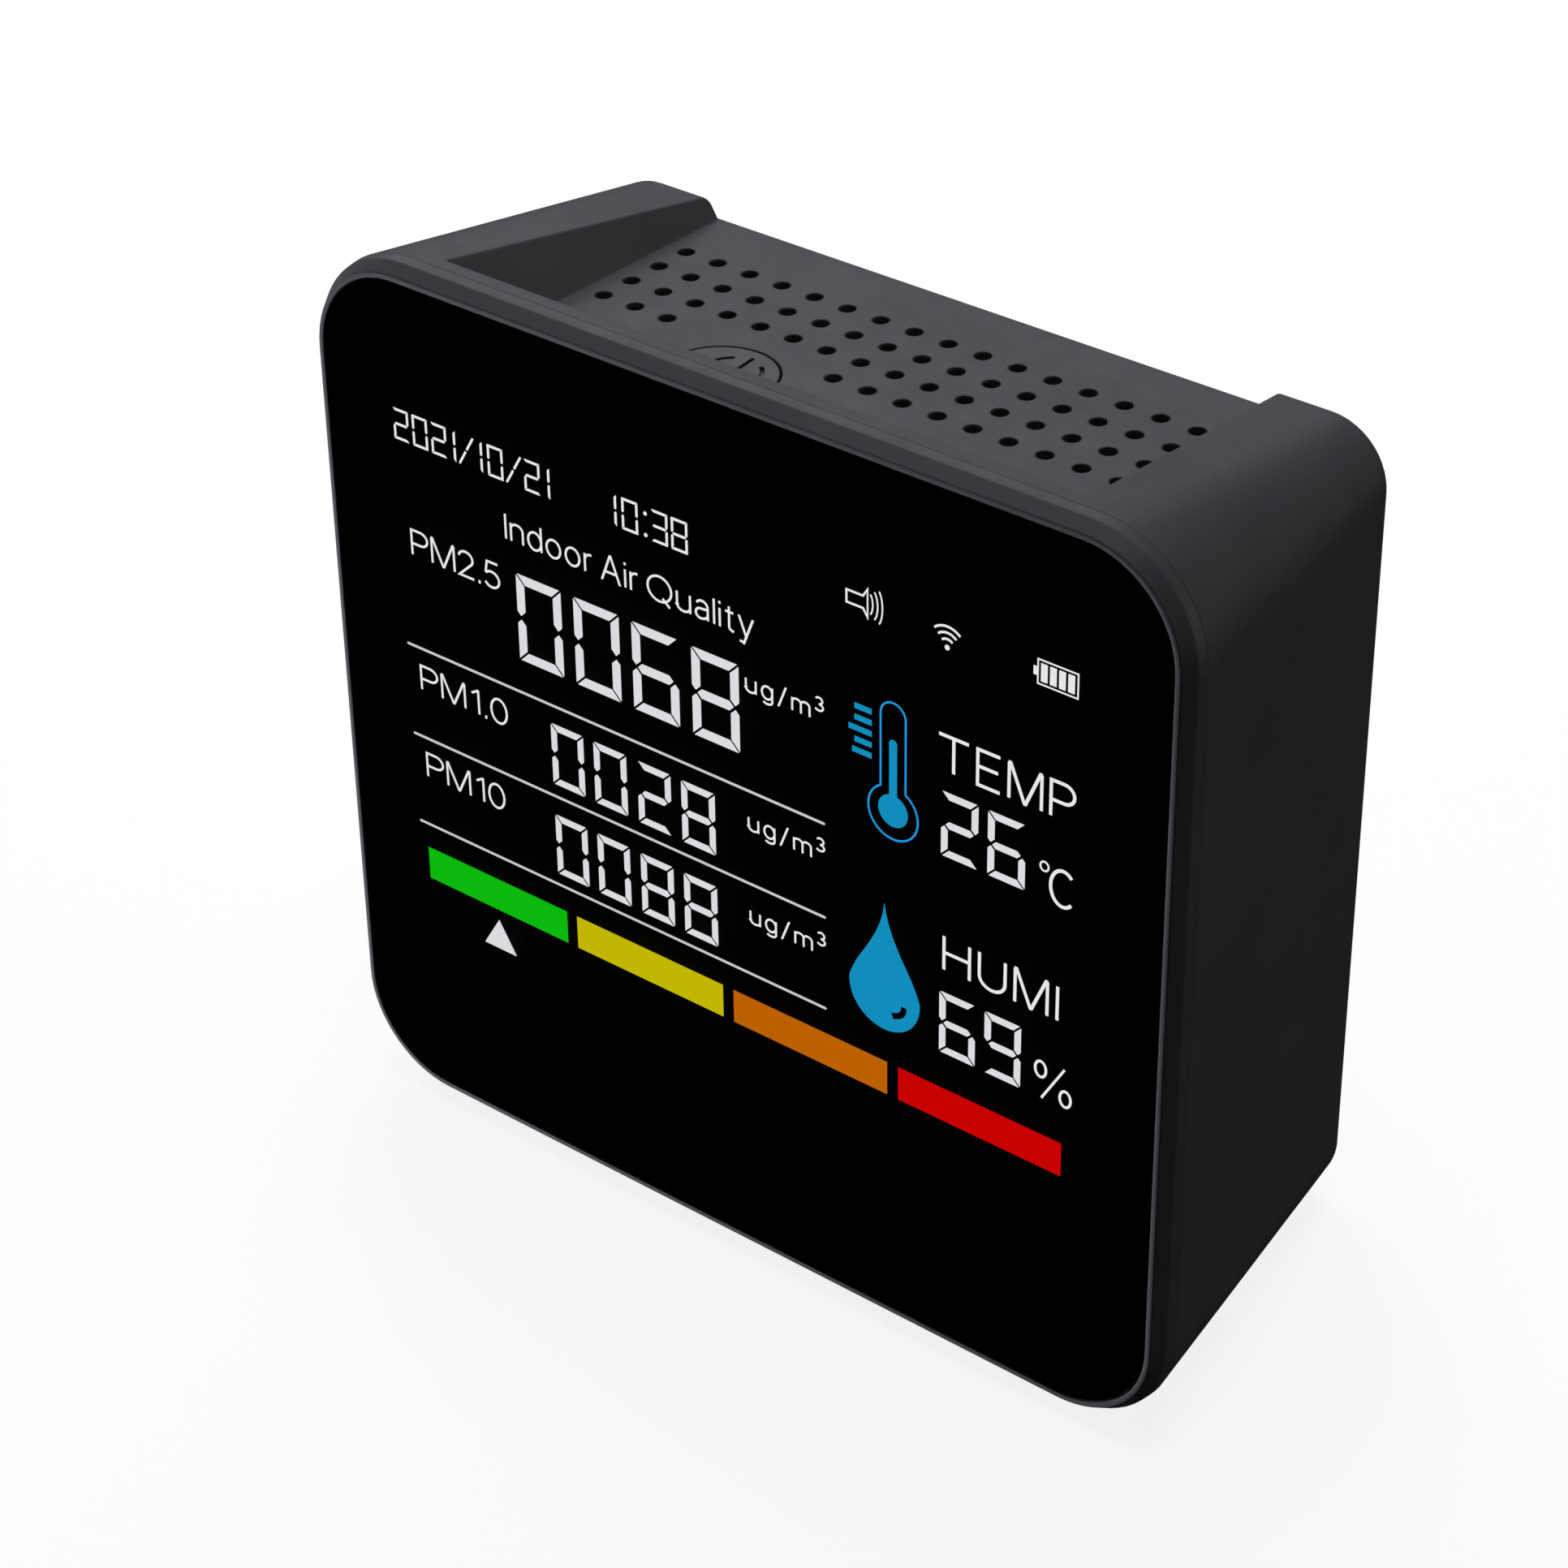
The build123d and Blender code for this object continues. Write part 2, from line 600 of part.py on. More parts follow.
def recess(sink, spread, front):
    """Trench with leaning side walls. sink and spread make it the skin below the visible surface."""
    low, high = FLOOR_Z - sink, FLOOR_Z + RECESS_TALL
    half_low = RECESS_HALF + RECESS_LEAN * (low - FLOOR_Z) + spread
    half_high = RECESS_HALF + RECESS_LEAN * RECESS_TALL + spread
    outline = Polygon((-half_low, low), (half_low, low), (half_high, high), (-half_high, high), align=None)
    return extrude(facing(DEPTH + 5.0) * outline, DEPTH + 5.0 - front)


def case_block():
    """Tapered solid of the shell before it is hollowed, with the recess cut and its edges eased."""
    solid = loft([section(SEAM_DEPTH, SEAM_GROW), section(DEPTH, grow_at(DEPTH))], ruled=True)
    solid = fillet(solid.faces().sort_by(Axis.Y)[-1].edges(), BACK_ROUNDING)
    solid -= recess(0.0, 0.0, RECESS_FRONT)
    rim = [
        edge
        for edge in solid.edges()
        if abs(edge.center().X) < RECESS_HALF + 6.0
        and edge.center().Z > FLOOR_Z + 1.0
        and RECESS_FRONT - 0.1 < edge.center().Y < DEPTH - BACK_ROUNDING
        and edge.length > 15.0
    ]
    return fillet(rim, EDGE_ROUNDING)


def case_hollow():
    """Space inside the shell, below the recess."""
    back_grow = grow_at(BACK_INSIDE) - WALL
    hollow = loft([section(SEAM_DEPTH, SEAM_GROW - WALL), section(BACK_INSIDE, back_grow)], ruled=True)
    hollow = fillet(hollow.faces().sort_by(Axis.Y)[-1].edges(), 1.5)
    leaning_skin = FLOOR_T * (1 + RECESS_LEAN**2) ** 0.5
    return hollow - recess(FLOOR_T, leaning_skin, 0.0)


def grille_places():
    for row in range(GRILLE_ROWS):
        for column in range(GRILLE_COLUMNS):
            if row > 0 or column not in GRILLE_SKIPPED:
                x = GRILLE_PITCH_X * (column - (GRILLE_COLUMNS - 1) / 2)
                yield x, GRILLE_FIRST_ROW + GRILLE_PITCH_Y * row


def rear_shell():
    shell = case_block() - case_hollow()
    holes = [post(GRILLE_HOLE_R, FLOOR_UNDER - 1, FLOOR_Z + 1, x, y) for x, y in grille_places()]
    holes.append(post(BUTTON_HOLE_R, FLOOR_UNDER - 1, FLOOR_Z + 1, BUTTON_X, BUTTON_Y))
    for x, z in CASE_SCREWS:
        holes.append(rod(SCREW_R + 0.15, BACK_INSIDE - 1, DEPTH + 1, x, z))
        holes.append(rod(SCREW_HEAD_R + 0.4, DEPTH - SCREW_SUNK, DEPTH + 1, x, z))
    for side in (-1, 1):
        for number in range(VENT_COUNT):
            x = side * (CLIMATE_X + VENT_PITCH * (number - (VENT_COUNT - 1) / 2))
            holes.append(slab(1.0, 14.0, BACK_INSIDE - 1, DEPTH + 1, x, CLIMATE_Z, radius=0.49))
    for x, depth in FOOT_PLACES:
        holes.append(underside(x, depth) * Pos(0, 0, -FOOT_SUNK) * Cylinder(
            FOOT_R + 0.1, 5.0, align=(Align.CENTER, Align.CENTER, Align.MIN)))
    holes.append(usb_opening())
    edge = GLASS_W / 2 + SEAM_GROW - WALL - 0.1
    for side in (-1, 1):
        for z in HOOK_Z:
            inner, outer = sorted((side * (edge - 0.6), side * (edge + 0.4)))
            holes.append(block(inner, outer, 3.7, 4.9, z - 3.1, z + 3.1))
    return shell - holes


def usb_opening():
    """Slot through the left wall, with a shallow seat round it for the plug's cover."""
    y = BOARD_BACK + USB_T / 2
    wall = -(GLASS_W / 2 + grow_at(y))
    plane = Plane(origin=(wall - 1.0, y, USB_Z), x_dir=(0, 0, 1), z_dir=(1, 0, 0))
    slot = extrude(plane * RectangleRounded(USB_W + 0.6, USB_T + 0.6, USB_T / 2 + 0.2), 4.0)
    seat = extrude(plane * RectangleRounded(13.0, 6.6, 3.2), 1.8)
    return slot + seat


def grille_mesh():
    """Dust mesh stretched under the grille, cut away round the button."""
    sheet = block(-26.2, 26.2, 14.2, 27.4, FLOOR_UNDER - 0.15, FLOOR_UNDER)
    return sheet - post(BUTTON_HOLE_R + 0.8, FLOOR_UNDER - 1, FLOOR_UNDER + 1, BUTTON_X, BUTTON_Y)


def top_button():
    """Round dished cap with a sunk power mark, ears that hold it under the floor, and a stem."""
    ear_top = FLOOR_UNDER - 0.05
    ear_low = ear_top - BUTTON_EAR_T
    cap = post(BUTTON_R, ear_low, FLOOR_Z, BUTTON_X, BUTTON_Y)
    dish = Pos(BUTTON_X, BUTTON_Y, FLOOR_Z - BUTTON_DISH_DEPTH + BUTTON_DISH_R) * Sphere(BUTTON_DISH_R)
    cap = cap - dish - button_mark()
    left, right = BUTTON_X - BUTTON_EAR_W / 2, BUTTON_X + BUTTON_EAR_W / 2
    ear_front = BUTTON_Y - BUTTON_EAR_D / 2
    cap += block(left, right, ear_front, ear_front + BUTTON_EAR_D, ear_low, ear_top)
    beside_board = block(left, right, 0.0, BOARD_FRONT + 0.4, 0.0, ear_top)
    stem = post(BUTTON_STEM_R, STEM_END, ear_top, BUTTON_X, SWITCH_Y)
    return cap - beside_board + stem


def button_mark():
    """Power mark sunk in the cap: a ring open towards the back, with a bar in the opening."""
    sunk = FLOOR_Z - BUTTON_DISH_DEPTH - MARK_DEPTH
    x, y = BUTTON_X + 0.3, BUTTON_Y + 1.0
    ring = post(MARK_R + MARK_W / 2, sunk, FLOOR_Z + 1, x, y)
    ring -= post(MARK_R - MARK_W / 2, sunk - 1, FLOOR_Z + 2, x, y)
    opening = Polygon((0, 0), (2.6, 4), (-2.6, 4), align=None)
    ring -= extrude(Pos(x, y, sunk - 1) * opening, 5.0)
    return ring + block(x - MARK_W / 2, x + MARK_W / 2, y + 0.7, y + 2.7, sunk, FLOOR_Z + 1)


def case_screws():
    return together([pan_screw(x, z, DEPTH - SCREW_SUNK, 7.0) for x, z in CASE_SCREWS])


def rubber_feet():
    feet = []
    for x, depth in FOOT_PLACES:
        foot = Cylinder(FOOT_R, FOOT_T, align=(Align.CENTER, Align.CENTER, Align.MIN))
        foot = chamfer(foot.edges().sort_by(Axis.Z)[-1], 0.3)
        feet.append(underside(x, depth) * Pos(0, 0, -FOOT_SUNK) * foot)
    return together(feet)


NODES = {
    "front_glass": front_glass,
    "mask_print": mask_print,
    "lens_adhesive": lens_adhesive,
    "front_frame": front_frame,
    "lcd_polarizer": lcd_polarizer,
    "lcd_glass": lcd_glass,
    "backlight": backlight,
    "lcd_holder": lcd_holder,
    "lcd_flex": lcd_flex,
    "main_board": main_board,
    "mcu_chip": mcu_chip,
    "wireless_module": wireless_module,
    "board_chips": board_chips,
    "board_capacitors": board_capacitors,
    "battery_socket": lambda: pin_socket(BATTERY_SOCKET_X, BATTERY_SOCKET_Z, 2, 2.0, 4.5),
    "sensor_socket": lambda: pin_socket(SENSOR_SOCKET_X, SENSOR_SOCKET_Z, 8, 1.25, 4.0),
    "climate_socket": lambda: pin_socket(CLIMATE_X, CLIMATE_SOCKET_Z, 4, 1.25, 4.0),
    "usb_socket": usb_socket,
    "usb_tongue": usb_tongue,
    "buzzer": buzzer,
    "button_switch": button_switch,
    "switch_plunger": switch_plunger,
    "board_screws": board_screws,
    "sensor_case": sensor_case,
    "sensor_lid": sensor_lid,
    "sensor_board": sensor_board,
    "laser_module": laser_module,
    "photodiode": photodiode,
    "fan_frame": fan_frame,
    "fan_coils": fan_coils,
    "fan_rotor": fan_rotor,
    "inlet_gasket": inlet_gasket,
    "climate_board": climate_board,
    "climate_chip": climate_chip,
    "climate_cable": climate_cable,
    "battery_cell": battery_cell,
    "battery_tape": battery_tape,
    "battery_guard": battery_guard,
    "battery_leads": battery_leads,
    "sensor_cable": sensor_cable,
    "rear_shell": rear_shell,
    "grille_mesh": grille_mesh,
    "top_button": top_button,
    "case_screws": case_screws,
    "rubber_feet": rubber_feet,
}

# Standing position: feet at Z = 0, origin below the middle of the case's depth
LEAN_SIN = sin(radians(TAPER))
LEAN_COS = cos(radians(TAPER))


def standing():
    """Turn from the frame of the glass to the frame of the object as it stands."""
    lift = (GLASS_H / 2 + grow_at(0.0)) * LEAN_COS + FOOT_T - FOOT_SUNK
    front = -(GLASS_H / 2 + LIP_GROW) * LEAN_SIN
    round_depth = DEPTH - BACK_ROUNDING
    round_z = GLASS_H / 2 + grow_at(round_depth) - BACK_ROUNDING / LEAN_COS
    back = round_depth * LEAN_COS + round_z * LEAN_SIN + BACK_ROUNDING
    return Pos(0, -(front + back) / 2, lift) * Rot(-TAPER, 0, 0)


def placed(shape):
    return standing() * shape


os.makedirs("parts", exist_ok=True)
for name, make in NODES.items():
    export_step(placed(make()), f"parts/{name}.step")
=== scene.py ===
"""Looks of the air quality monitor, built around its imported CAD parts.

Lengths are in millimetres in the frame of the display glass (x right, y into the case, z up the
glass) until GLASS turns them into metres in the row's frame. The floor, and the distances and sizes
of the lamps, are in metres.
"""
import json
import math

import bmesh
import bpy
from mathutils import Matrix, Vector


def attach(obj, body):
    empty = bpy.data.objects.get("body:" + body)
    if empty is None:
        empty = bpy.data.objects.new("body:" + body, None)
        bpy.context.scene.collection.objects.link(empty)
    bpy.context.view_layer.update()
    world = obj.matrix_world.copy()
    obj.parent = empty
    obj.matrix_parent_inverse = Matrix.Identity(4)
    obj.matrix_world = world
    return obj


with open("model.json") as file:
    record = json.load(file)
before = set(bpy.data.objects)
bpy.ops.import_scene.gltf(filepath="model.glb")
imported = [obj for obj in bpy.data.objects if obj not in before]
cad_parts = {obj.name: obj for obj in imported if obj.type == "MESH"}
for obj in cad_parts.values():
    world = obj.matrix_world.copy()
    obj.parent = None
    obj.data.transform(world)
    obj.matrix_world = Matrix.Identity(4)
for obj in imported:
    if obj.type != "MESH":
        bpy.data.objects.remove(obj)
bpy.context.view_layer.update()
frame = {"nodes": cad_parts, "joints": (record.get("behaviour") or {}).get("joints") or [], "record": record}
scene = bpy.context.scene
MM = 0.001


def glass_frame():
    """Matrix from the frame of the glass to the row's frame."""
    press = next(j for j in frame["joints"] if j["name"] == "button_press")
    up = -Vector(press["axis"]).normalized()
    right = Vector((1, 0, 0))
    back = up.cross(right)
    corners = [v.co for v in frame["nodes"]["front_glass"].data.vertices]
    heights = [corner.dot(up) for corner in corners]
    outer = min(corner.dot(back) for corner in corners)
    origin = back * outer + up * (min(heights) + max(heights)) / 2
    turn = Matrix((right, back, up)).transposed().to_4x4()
    return Matrix.Translation(origin) @ turn @ Matrix.Scale(MM, 4)


GLASS = glass_frame()


def middle_of(node):
    """Middle of a CAD node's box, in the frame of the glass."""
    inverse = GLASS.inverted()
    places = [inverse @ v.co for v in frame["nodes"][node].data.vertices]
    return Vector([(min(p[i] for p in places) + max(p[i] for p in places)) / 2 for i in range(3)])


# ---------------------------------------------------------------- node and material helpers


def add(tree, kind, inputs=None, **settings):
    """New node with its settings. An input's value is a socket to link or a plain value."""
    node = tree.nodes.new(kind)
    for key, value in settings.items():
        setattr(node, key, value)
    for key, value in (inputs or {}).items():
        if isinstance(value, bpy.types.NodeSocket):
            tree.links.new(value, node.inputs[key])
        else:
            node.inputs[key].default_value = value
    return node


def surface(name, colour, rough, metal=0.0, specular=0.5, **plain):
    """Principled material. plain sets further inputs of the shader by name."""
    material = bpy.data.materials.new(name)
    material.use_nodes = True
    tree = material.node_tree
    shader = tree.nodes["Principled BSDF"]
    shader.inputs["Base Color"].default_value = (*colour, 1)
    shader.inputs["Roughness"].default_value = rough
    shader.inputs["Metallic"].default_value = metal
    shader.inputs["Specular IOR Level"].default_value = specular
    for key, value in plain.items():
        shader.inputs[key].default_value = value
    return material, tree, shader


def place_in(tree, size, stretch=(1, 1, 1)):
    """Object coordinates in units of this many millimetres, turned into the frame of the glass."""
    where = add(tree, "ShaderNodeTexCoord").outputs["Object"]
    turned = add(tree, "ShaderNodeMapping", {"Vector": where}, vector_type="TEXTURE")
    turned.inputs["Rotation"].default_value = GLASS.to_euler()
    scale = [s / (size * MM) for s in stretch]
    return add(tree, "ShaderNodeMapping", {"Vector": turned.outputs[0], "Scale": scale}).outputs[0]


def noise(tree, size, detail=2.0, stretch=(1, 1, 1), rough=0.5):
    """Cloudy pattern with features of this size in millimetres."""
    inputs = {"Vector": place_in(tree, size, stretch), "Scale": 1.0, "Detail": detail,
              "Roughness": rough}
    return add(tree, "ShaderNodeTexNoise", inputs).outputs["Fac"]


def cells(tree, size, inputs=None, **settings):
    """Distance to the middle of the nearest cell, for cells of this size in millimetres."""
    inputs = {"Vector": place_in(tree, size), "Scale": 1.0, **(inputs or {})}
    return add(tree, "ShaderNodeTexVoronoi", inputs, **settings).outputs["Distance"]


def stripes(tree, direction, scale, **inputs):
    """Soft stripes that follow each other along x or y of the glass. Larger scale is finer."""
    inputs = {"Vector": place_in(tree, 1.0), "Scale": scale, **inputs}
    return add(tree, "ShaderNodeTexWave", inputs, bands_direction=direction).outputs["Fac"]


def combined(tree, first, second, operation="ADD"):
    """Sum, product or greater of two patterns."""
    return add(tree, "ShaderNodeMath", {0: first, 1: second}, operation=operation).outputs[0]


def spread(tree, pattern, low, high, start=0.3, end=0.7):
    """Map start..end of a pattern to low..high."""
    inputs = {"Value": pattern, "From Min": start, "From Max": end, "To Min": low, "To Max": high}
    return add(tree, "ShaderNodeMapRange", inputs).outputs[0]


def painted(tree, shader, pattern, first, second, start=0.3, end=0.7):
    """Base colour between first and second as a pattern goes from start to end."""
    ramp = add(tree, "ShaderNodeValToRGB", {"Fac": pattern})
    a, b = ramp.color_ramp.elements
    a.position, a.color = start, (*first, 1)
    b.position, b.color = end, (*second, 1)
    tree.links.new(ramp.outputs["Color"], shader.inputs["Base Color"])


def roughened(tree, shader, pattern, low, high, start=0.3, end=0.7):
    """Roughness between low and high as a pattern goes from start to end."""
    tree.links.new(spread(tree, pattern, low, high, start, end), shader.inputs["Roughness"])


def bumped(tree, shader, height, depth, strength=1.0, after=None):
    """Bump of this depth in millimetres from a height pattern, on top of an earlier bump."""
    inputs = {"Height": height, "Distance": depth * MM, "Strength": strength}
    if after is not None:
        inputs["Normal"] = after
    bump = add(tree, "ShaderNodeBump", inputs).outputs[0]
    tree.links.new(bump, shader.inputs["Normal"])
    return bump


def times(colour, factor):
    return [c * factor for c in colour]


# ---------------------------------------------------------------- camera, light and floor

CAMERA_PLACE = (174.5, -201.7, 176.0)
CAMERA_TURN, CAMERA_TILT = 38.3, 57.33
CAMERA_SENSOR, CAMERA_LENS = 36.0, 93.88
CAMERA_SHIFT = (-0.0615, 0.0023)
CAMERA_CLIP = (0.01, 20.0)

CASE_MIDDLE = (0, 15, 0)
COOL, WARM = (0.98, 0.96, 1.06), (1.03, 1.0, 0.97)
# Name, direction in the frame of the glass, distance, power, side, colour, and whether the lamp
# shows in reflections
LAMPS = (
    ("key", (-0.40, 0.60, 0.70), 0.50, 0.60, 0.30, COOL, True),
    ("key_left", (-0.75, 0.35, 0.60), 0.60, 0.68, 0.30, COOL, True),
    ("top", (0.0, 0.0, 1.0), 0.70, 2.35, 0.40, COOL, True),
    ("left", (-0.78, -0.50, -0.42), 0.30, 2.20, 0.20, COOL, False),
    ("right", (0.92, 0.42, 0.12), 0.70, 0.94, 0.40, WARM, True),
)

WORLD_BRIGHT_SIDE = (-0.8, 0.6, 0.0)
WORLD_DIM, WORLD_BRIGHT = 0.003, 0.07
WORLD_FADE_START = 0.25

FLOOR_FLAT, FLOOR_BEND, FLOOR_WALL = 0.9, 0.6, 4.0
FLOOR_SIDES, FLOOR_BEND_STEPS = 96, 12
FLOOR_COLOUR = (0.20, 0.20, 0.20)
FLOOR_GLOW = 0.86


def make_camera():
    data = bpy.data.cameras.new("camera")
    data.sensor_width, data.lens = CAMERA_SENSOR, CAMERA_LENS
    data.shift_x, data.shift_y = CAMERA_SHIFT
    data.clip_start, data.clip_end = CAMERA_CLIP
    camera = bpy.data.objects.new("camera", data)
    scene.collection.objects.link(camera)
    turn = Matrix.Rotation(math.radians(CAMERA_TURN), 4, "Z")
    tilt = Matrix.Rotation(math.radians(CAMERA_TILT), 4, "X")
    pose = GLASS @ Matrix.Translation(CAMERA_PLACE) @ (turn @ tilt)
    camera.matrix_world = Matrix.LocRotScale(pose.to_translation(), pose.to_quaternion(), (1, 1, 1))
    scene.camera = camera


def softbox(name, towards, distance, power, size, colour, mirrored):
    """Square area light in a direction of the glass frame, aimed at the middle of the case."""
    data = bpy.data.lights.new(name, "AREA")
    data.size, data.energy, data.color = size, power, colour
    lamp = bpy.data.objects.new(name, data)
    aim = GLASS @ Vector(CASE_MIDDLE)
    away = (GLASS.to_quaternion() @ Vector(towards)).normalized()
    lamp.location = aim + away * distance
    lamp.rotation_euler = away.to_track_quat("Z", "Y").to_euler()
    lamp.visible_glossy = lamp.visible_transmission = mirrored
    scene.collection.objects.link(lamp)


def make_world():
    """Dim even surroundings, brighter towards the back left."""
    world = bpy.data.worlds.new("studio")
    scene.world = world
    world.use_nodes = True
    tree = world.node_tree
    place = add(tree, "ShaderNodeTexCoord").outputs["Generated"]
    towards = add(tree, "ShaderNodeVectorMath", {0: place}, operation="DOT_PRODUCT")
    towards.inputs[1].default_value = Vector(WORLD_BRIGHT_SIDE).normalized()
    ramp = add(tree, "ShaderNodeValToRGB", {"Fac": towards.outputs["Value"]})
    ramp.color_ramp.interpolation = "EASE"
    first, last = ramp.color_ramp.elements
    first.position, first.color = WORLD_FADE_START, (*[WORLD_DIM] * 3, 1)
    last.position, last.color = 1.0, (*[WORLD_BRIGHT] * 3, 1)
    tree.links.new(ramp.outputs["Color"], tree.nodes["Background"].inputs["Color"])


def floor_mesh():
    """Round flat disc that curves up into a wall far behind on every side."""
    bend = [math.radians(90 * k / FLOOR_BEND_STEPS) for k in range(FLOOR_BEND_STEPS + 1)]
    profile = [(FLOOR_FLAT + FLOOR_BEND * math.sin(a), FLOOR_BEND * (1 - math.cos(a)))
               for a in bend] + [(FLOOR_FLAT + FLOOR_BEND, FLOOR_WALL)]
    round_angles = [2 * math.pi * k / FLOOR_SIDES for k in range(FLOOR_SIDES)]
    bm = bmesh.new()
    rings = [[bm.verts.new((radius * math.cos(t), radius * math.sin(t), height))
              for t in round_angles] for radius, height in profile]
    bm.faces.new(rings[0])
    for low, high in zip(rings, rings[1:]):
        for k in range(FLOOR_SIDES):
            n = (k + 1) % FLOOR_SIDES
            bm.faces.new((low[k], high[k], high[n], low[n]))
    mesh = bpy.data.meshes.new("floor")
    bm.to_mesh(mesh)
    bm.free()
    for polygon in mesh.polygons:
        polygon.use_smooth = True
    return mesh


def make_floor():
    """Pale glowing paper that shows to the camera only, and lights nothing."""
    mesh = floor_mesh()
    floor = bpy.data.objects.new("floor", mesh)
    scene.collection.objects.link(floor)
    floor.visible_diffuse = floor.visible_glossy = floor.visible_transmission = False
    floor.visible_shadow = False
    material, tree, shader = surface("floor_paper", FLOOR_COLOUR, 0.9, specular=0.0)
    shader.inputs["Emission Color"].default_value = (1, 1, 1, 1)
    shader.inputs["Emission Strength"].default_value = FLOOR_GLOW
    fibres = noise(tree, 0.8, 4.0)
    painted(tree, shader, fibres, times(FLOOR_COLOUR, 0.97), times(FLOOR_COLOUR, 1.03))
    roughened(tree, shader, fibres, 0.85, 0.95)
    mesh.materials.append(material)


# ---------------------------------------------------------------- materials
# Sizes and depths in these calls are in millimetres.

GLASS_IOR, GLASS_SPECULAR = 1.30, 0.5
CASE_COLOUR = (0.050, 0.0495, 0.0535)


def moulded(name, colour, rough, grain=0.16, depth=0.006, specular=0.5, eased=0.0):
    """Moulded plastic: spark-eroded grain, a slow drift in colour and gloss, and handling marks.

    eased is the radius to which sharp edges are softened.
    """
    material, tree, shader = surface(name, colour, rough, specular=specular)
    painted(tree, shader, noise(tree, 14.0, 3.0), times(colour, 0.9), times(colour, 1.1))
    fine = noise(tree, grain, 3.0, rough=0.6)
    marks = noise(tree, 3.0, 4.0)
    roughened(tree, shader, combined(tree, fine, marks), rough - 0.06, rough + 0.06, 0.7, 1.3)
    start = None
    if eased:
        start = add(tree, "ShaderNodeBevel", {"Radius": eased * MM}, samples=6).outputs[0]
    waves = bumped(tree, shader, noise(tree, 6.0, 1.0), 0.01, 0.5, start)
    bumped(tree, shader, fine, depth, after=waves)
    return material


def metal(name, colour, rough, brushed=(1, 1, 1)):
    """Metal with brushing along one direction and cloudy wear."""
    material, tree, shader = surface(name, colour, rough, 1.0)
    lines = noise(tree, 0.12, 3.0, brushed)
    cloud = noise(tree, 2.5, 3.0)
    painted(tree, shader, cloud, times(colour, 0.82), colour)
    roughened(tree, shader, combined(tree, lines, cloud), rough - 0.08, rough + 0.14, 0.7, 1.3)
    bumped(tree, shader, lines, 0.002)
    return material


def cover_glass():
    """Clear glass with the faintest dust and wipe marks in its gloss."""
    material, tree, shader = surface("cover_glass", (1, 1, 1), 0.0, specular=GLASS_SPECULAR)
    shader.inputs["IOR"].default_value = GLASS_IOR
    shader.inputs["Transmission Weight"].default_value = 1.0
    dust = noise(tree, 0.5, 4.0)
    wipes = noise(tree, 9.0, 5.0, (1, 1, 4))
    both = combined(tree, dust, wipes, "MULTIPLY")
    roughened(tree, shader, both, 0.0, 0.05, 0.26, 0.45)
    return material


def ink(name, colour, rough):
    """Dull print or film with a fine unevenness."""
    material, tree, shader = surface(name, colour, rough, specular=0.1)
    fine = noise(tree, 0.3, 3.0)
    painted(tree, shader, fine, times(colour, 0.8), times(colour, 1.2))
    roughened(tree, shader, fine, rough - 0.05, rough + 0.05)
    return material


def circuit_board():
    """Solder mask over copper tracks and vias, seen as slightly raised lighter marks."""
    material, tree, shader = surface("circuit_board", (0.012, 0.09, 0.035), 0.32,
                                     **{"Coat Weight": 0.3, "Coat Roughness": 0.2})
    axes = add(tree, "ShaderNodeSeparateXYZ", {"Vector": place_in(tree, 1.0)}).outputs
    plane = add(tree, "ShaderNodeCombineXYZ", {"X": axes["X"], "Y": axes["Z"]}).outputs[0]
    bricks = {"Vector": plane, "Scale": 0.55, "Mortar Size": 0.03, "Mortar Smooth": 0.1,
              "Brick Width": 3.1, "Row Height": 0.8}
    tracks = add(tree, "ShaderNodeTexBrick", bricks, offset=0.37, squash=1.6).outputs["Fac"]
    spots = add(tree, "ShaderNodeTexVoronoi", {"Vector": plane, "Scale": 0.35}).outputs["Distance"]
    vias = spread(tree, spots, 1.0, 0.0, 0.10, 0.14)
    copper = combined(tree, tracks, vias, "MAXIMUM")
    painted(tree, shader, copper, (0.01, 0.075, 0.03), (0.03, 0.19, 0.07), 0.0, 1.0)
    bumped(tree, shader, copper, 0.02)
    return material


def flex_film():
    """Amber film with parallel copper lines under it."""
    material, tree, shader = surface("flex_film", (0.5, 0.22, 0.03), 0.25)
    lines = stripes(tree, "X", 1.6)
    painted(tree, shader, lines, (0.32, 0.12, 0.015), (0.62, 0.32, 0.07), 0.4, 0.6)
    bumped(tree, shader, lines, 0.01)
    return material


def light_guide():
    """Milky sheet with a printed field of dots."""
    colour = (0.8, 0.82, 0.83)
    material, tree, shader = surface("light_guide", colour, 0.35)
    dots = cells(tree, 0.7, {"Randomness": 0.0})
    painted(tree, shader, dots, colour, times(colour, 0.82), 0.2, 0.3)
    bumped(tree, shader, dots, 0.01)
    return material


def coil_copper():
    """Enamelled wire wound in tight turns, with painted shade in the grooves between the turns."""
    material, tree, shader = surface("coil_copper", (0.7, 0.28, 0.12), 0.28, 1.0)
    turns = stripes(tree, "Y", 2.4, Distortion=0.4)
    # Painted shade: the colour darkens into the grooves between turns, where the bump dips.
    painted(tree, shader, turns, (0.35, 0.12, 0.05), (0.8, 0.36, 0.16), 0.1, 0.6)
    bumped(tree, shader, turns, 0.05)
    return material


def foam():
    """Open-cell foam, with painted shade in its pores."""
    material, tree, shader = surface("foam", (0.03, 0.03, 0.032), 0.95, specular=0.2)
    pores = cells(tree, 0.5)
    # Painted shade: the colour darkens into the pores, where the bump dips.
    painted(tree, shader, pores, (0.006, 0.006, 0.007), (0.05, 0.05, 0.052), 0.15, 0.6)
    bumped(tree, shader, pores, 0.15)
    return material


def cable_jacket():
    """Insulated wires side by side, with painted shade in the grooves between the wires."""
    material, tree, shader = surface("cable_jacket", (0.5, 0.48, 0.45), 0.45)
    cores = stripes(tree, "X", 0.26)
    # Painted shade: the colour darkens into the grooves between the wires, where the bump dips.
    painted(tree, shader, cores, (0.16, 0.15, 0.15), (0.55, 0.53, 0.5), 0.05, 0.5)
    bumped(tree, shader, cores, 0.15)
    return material


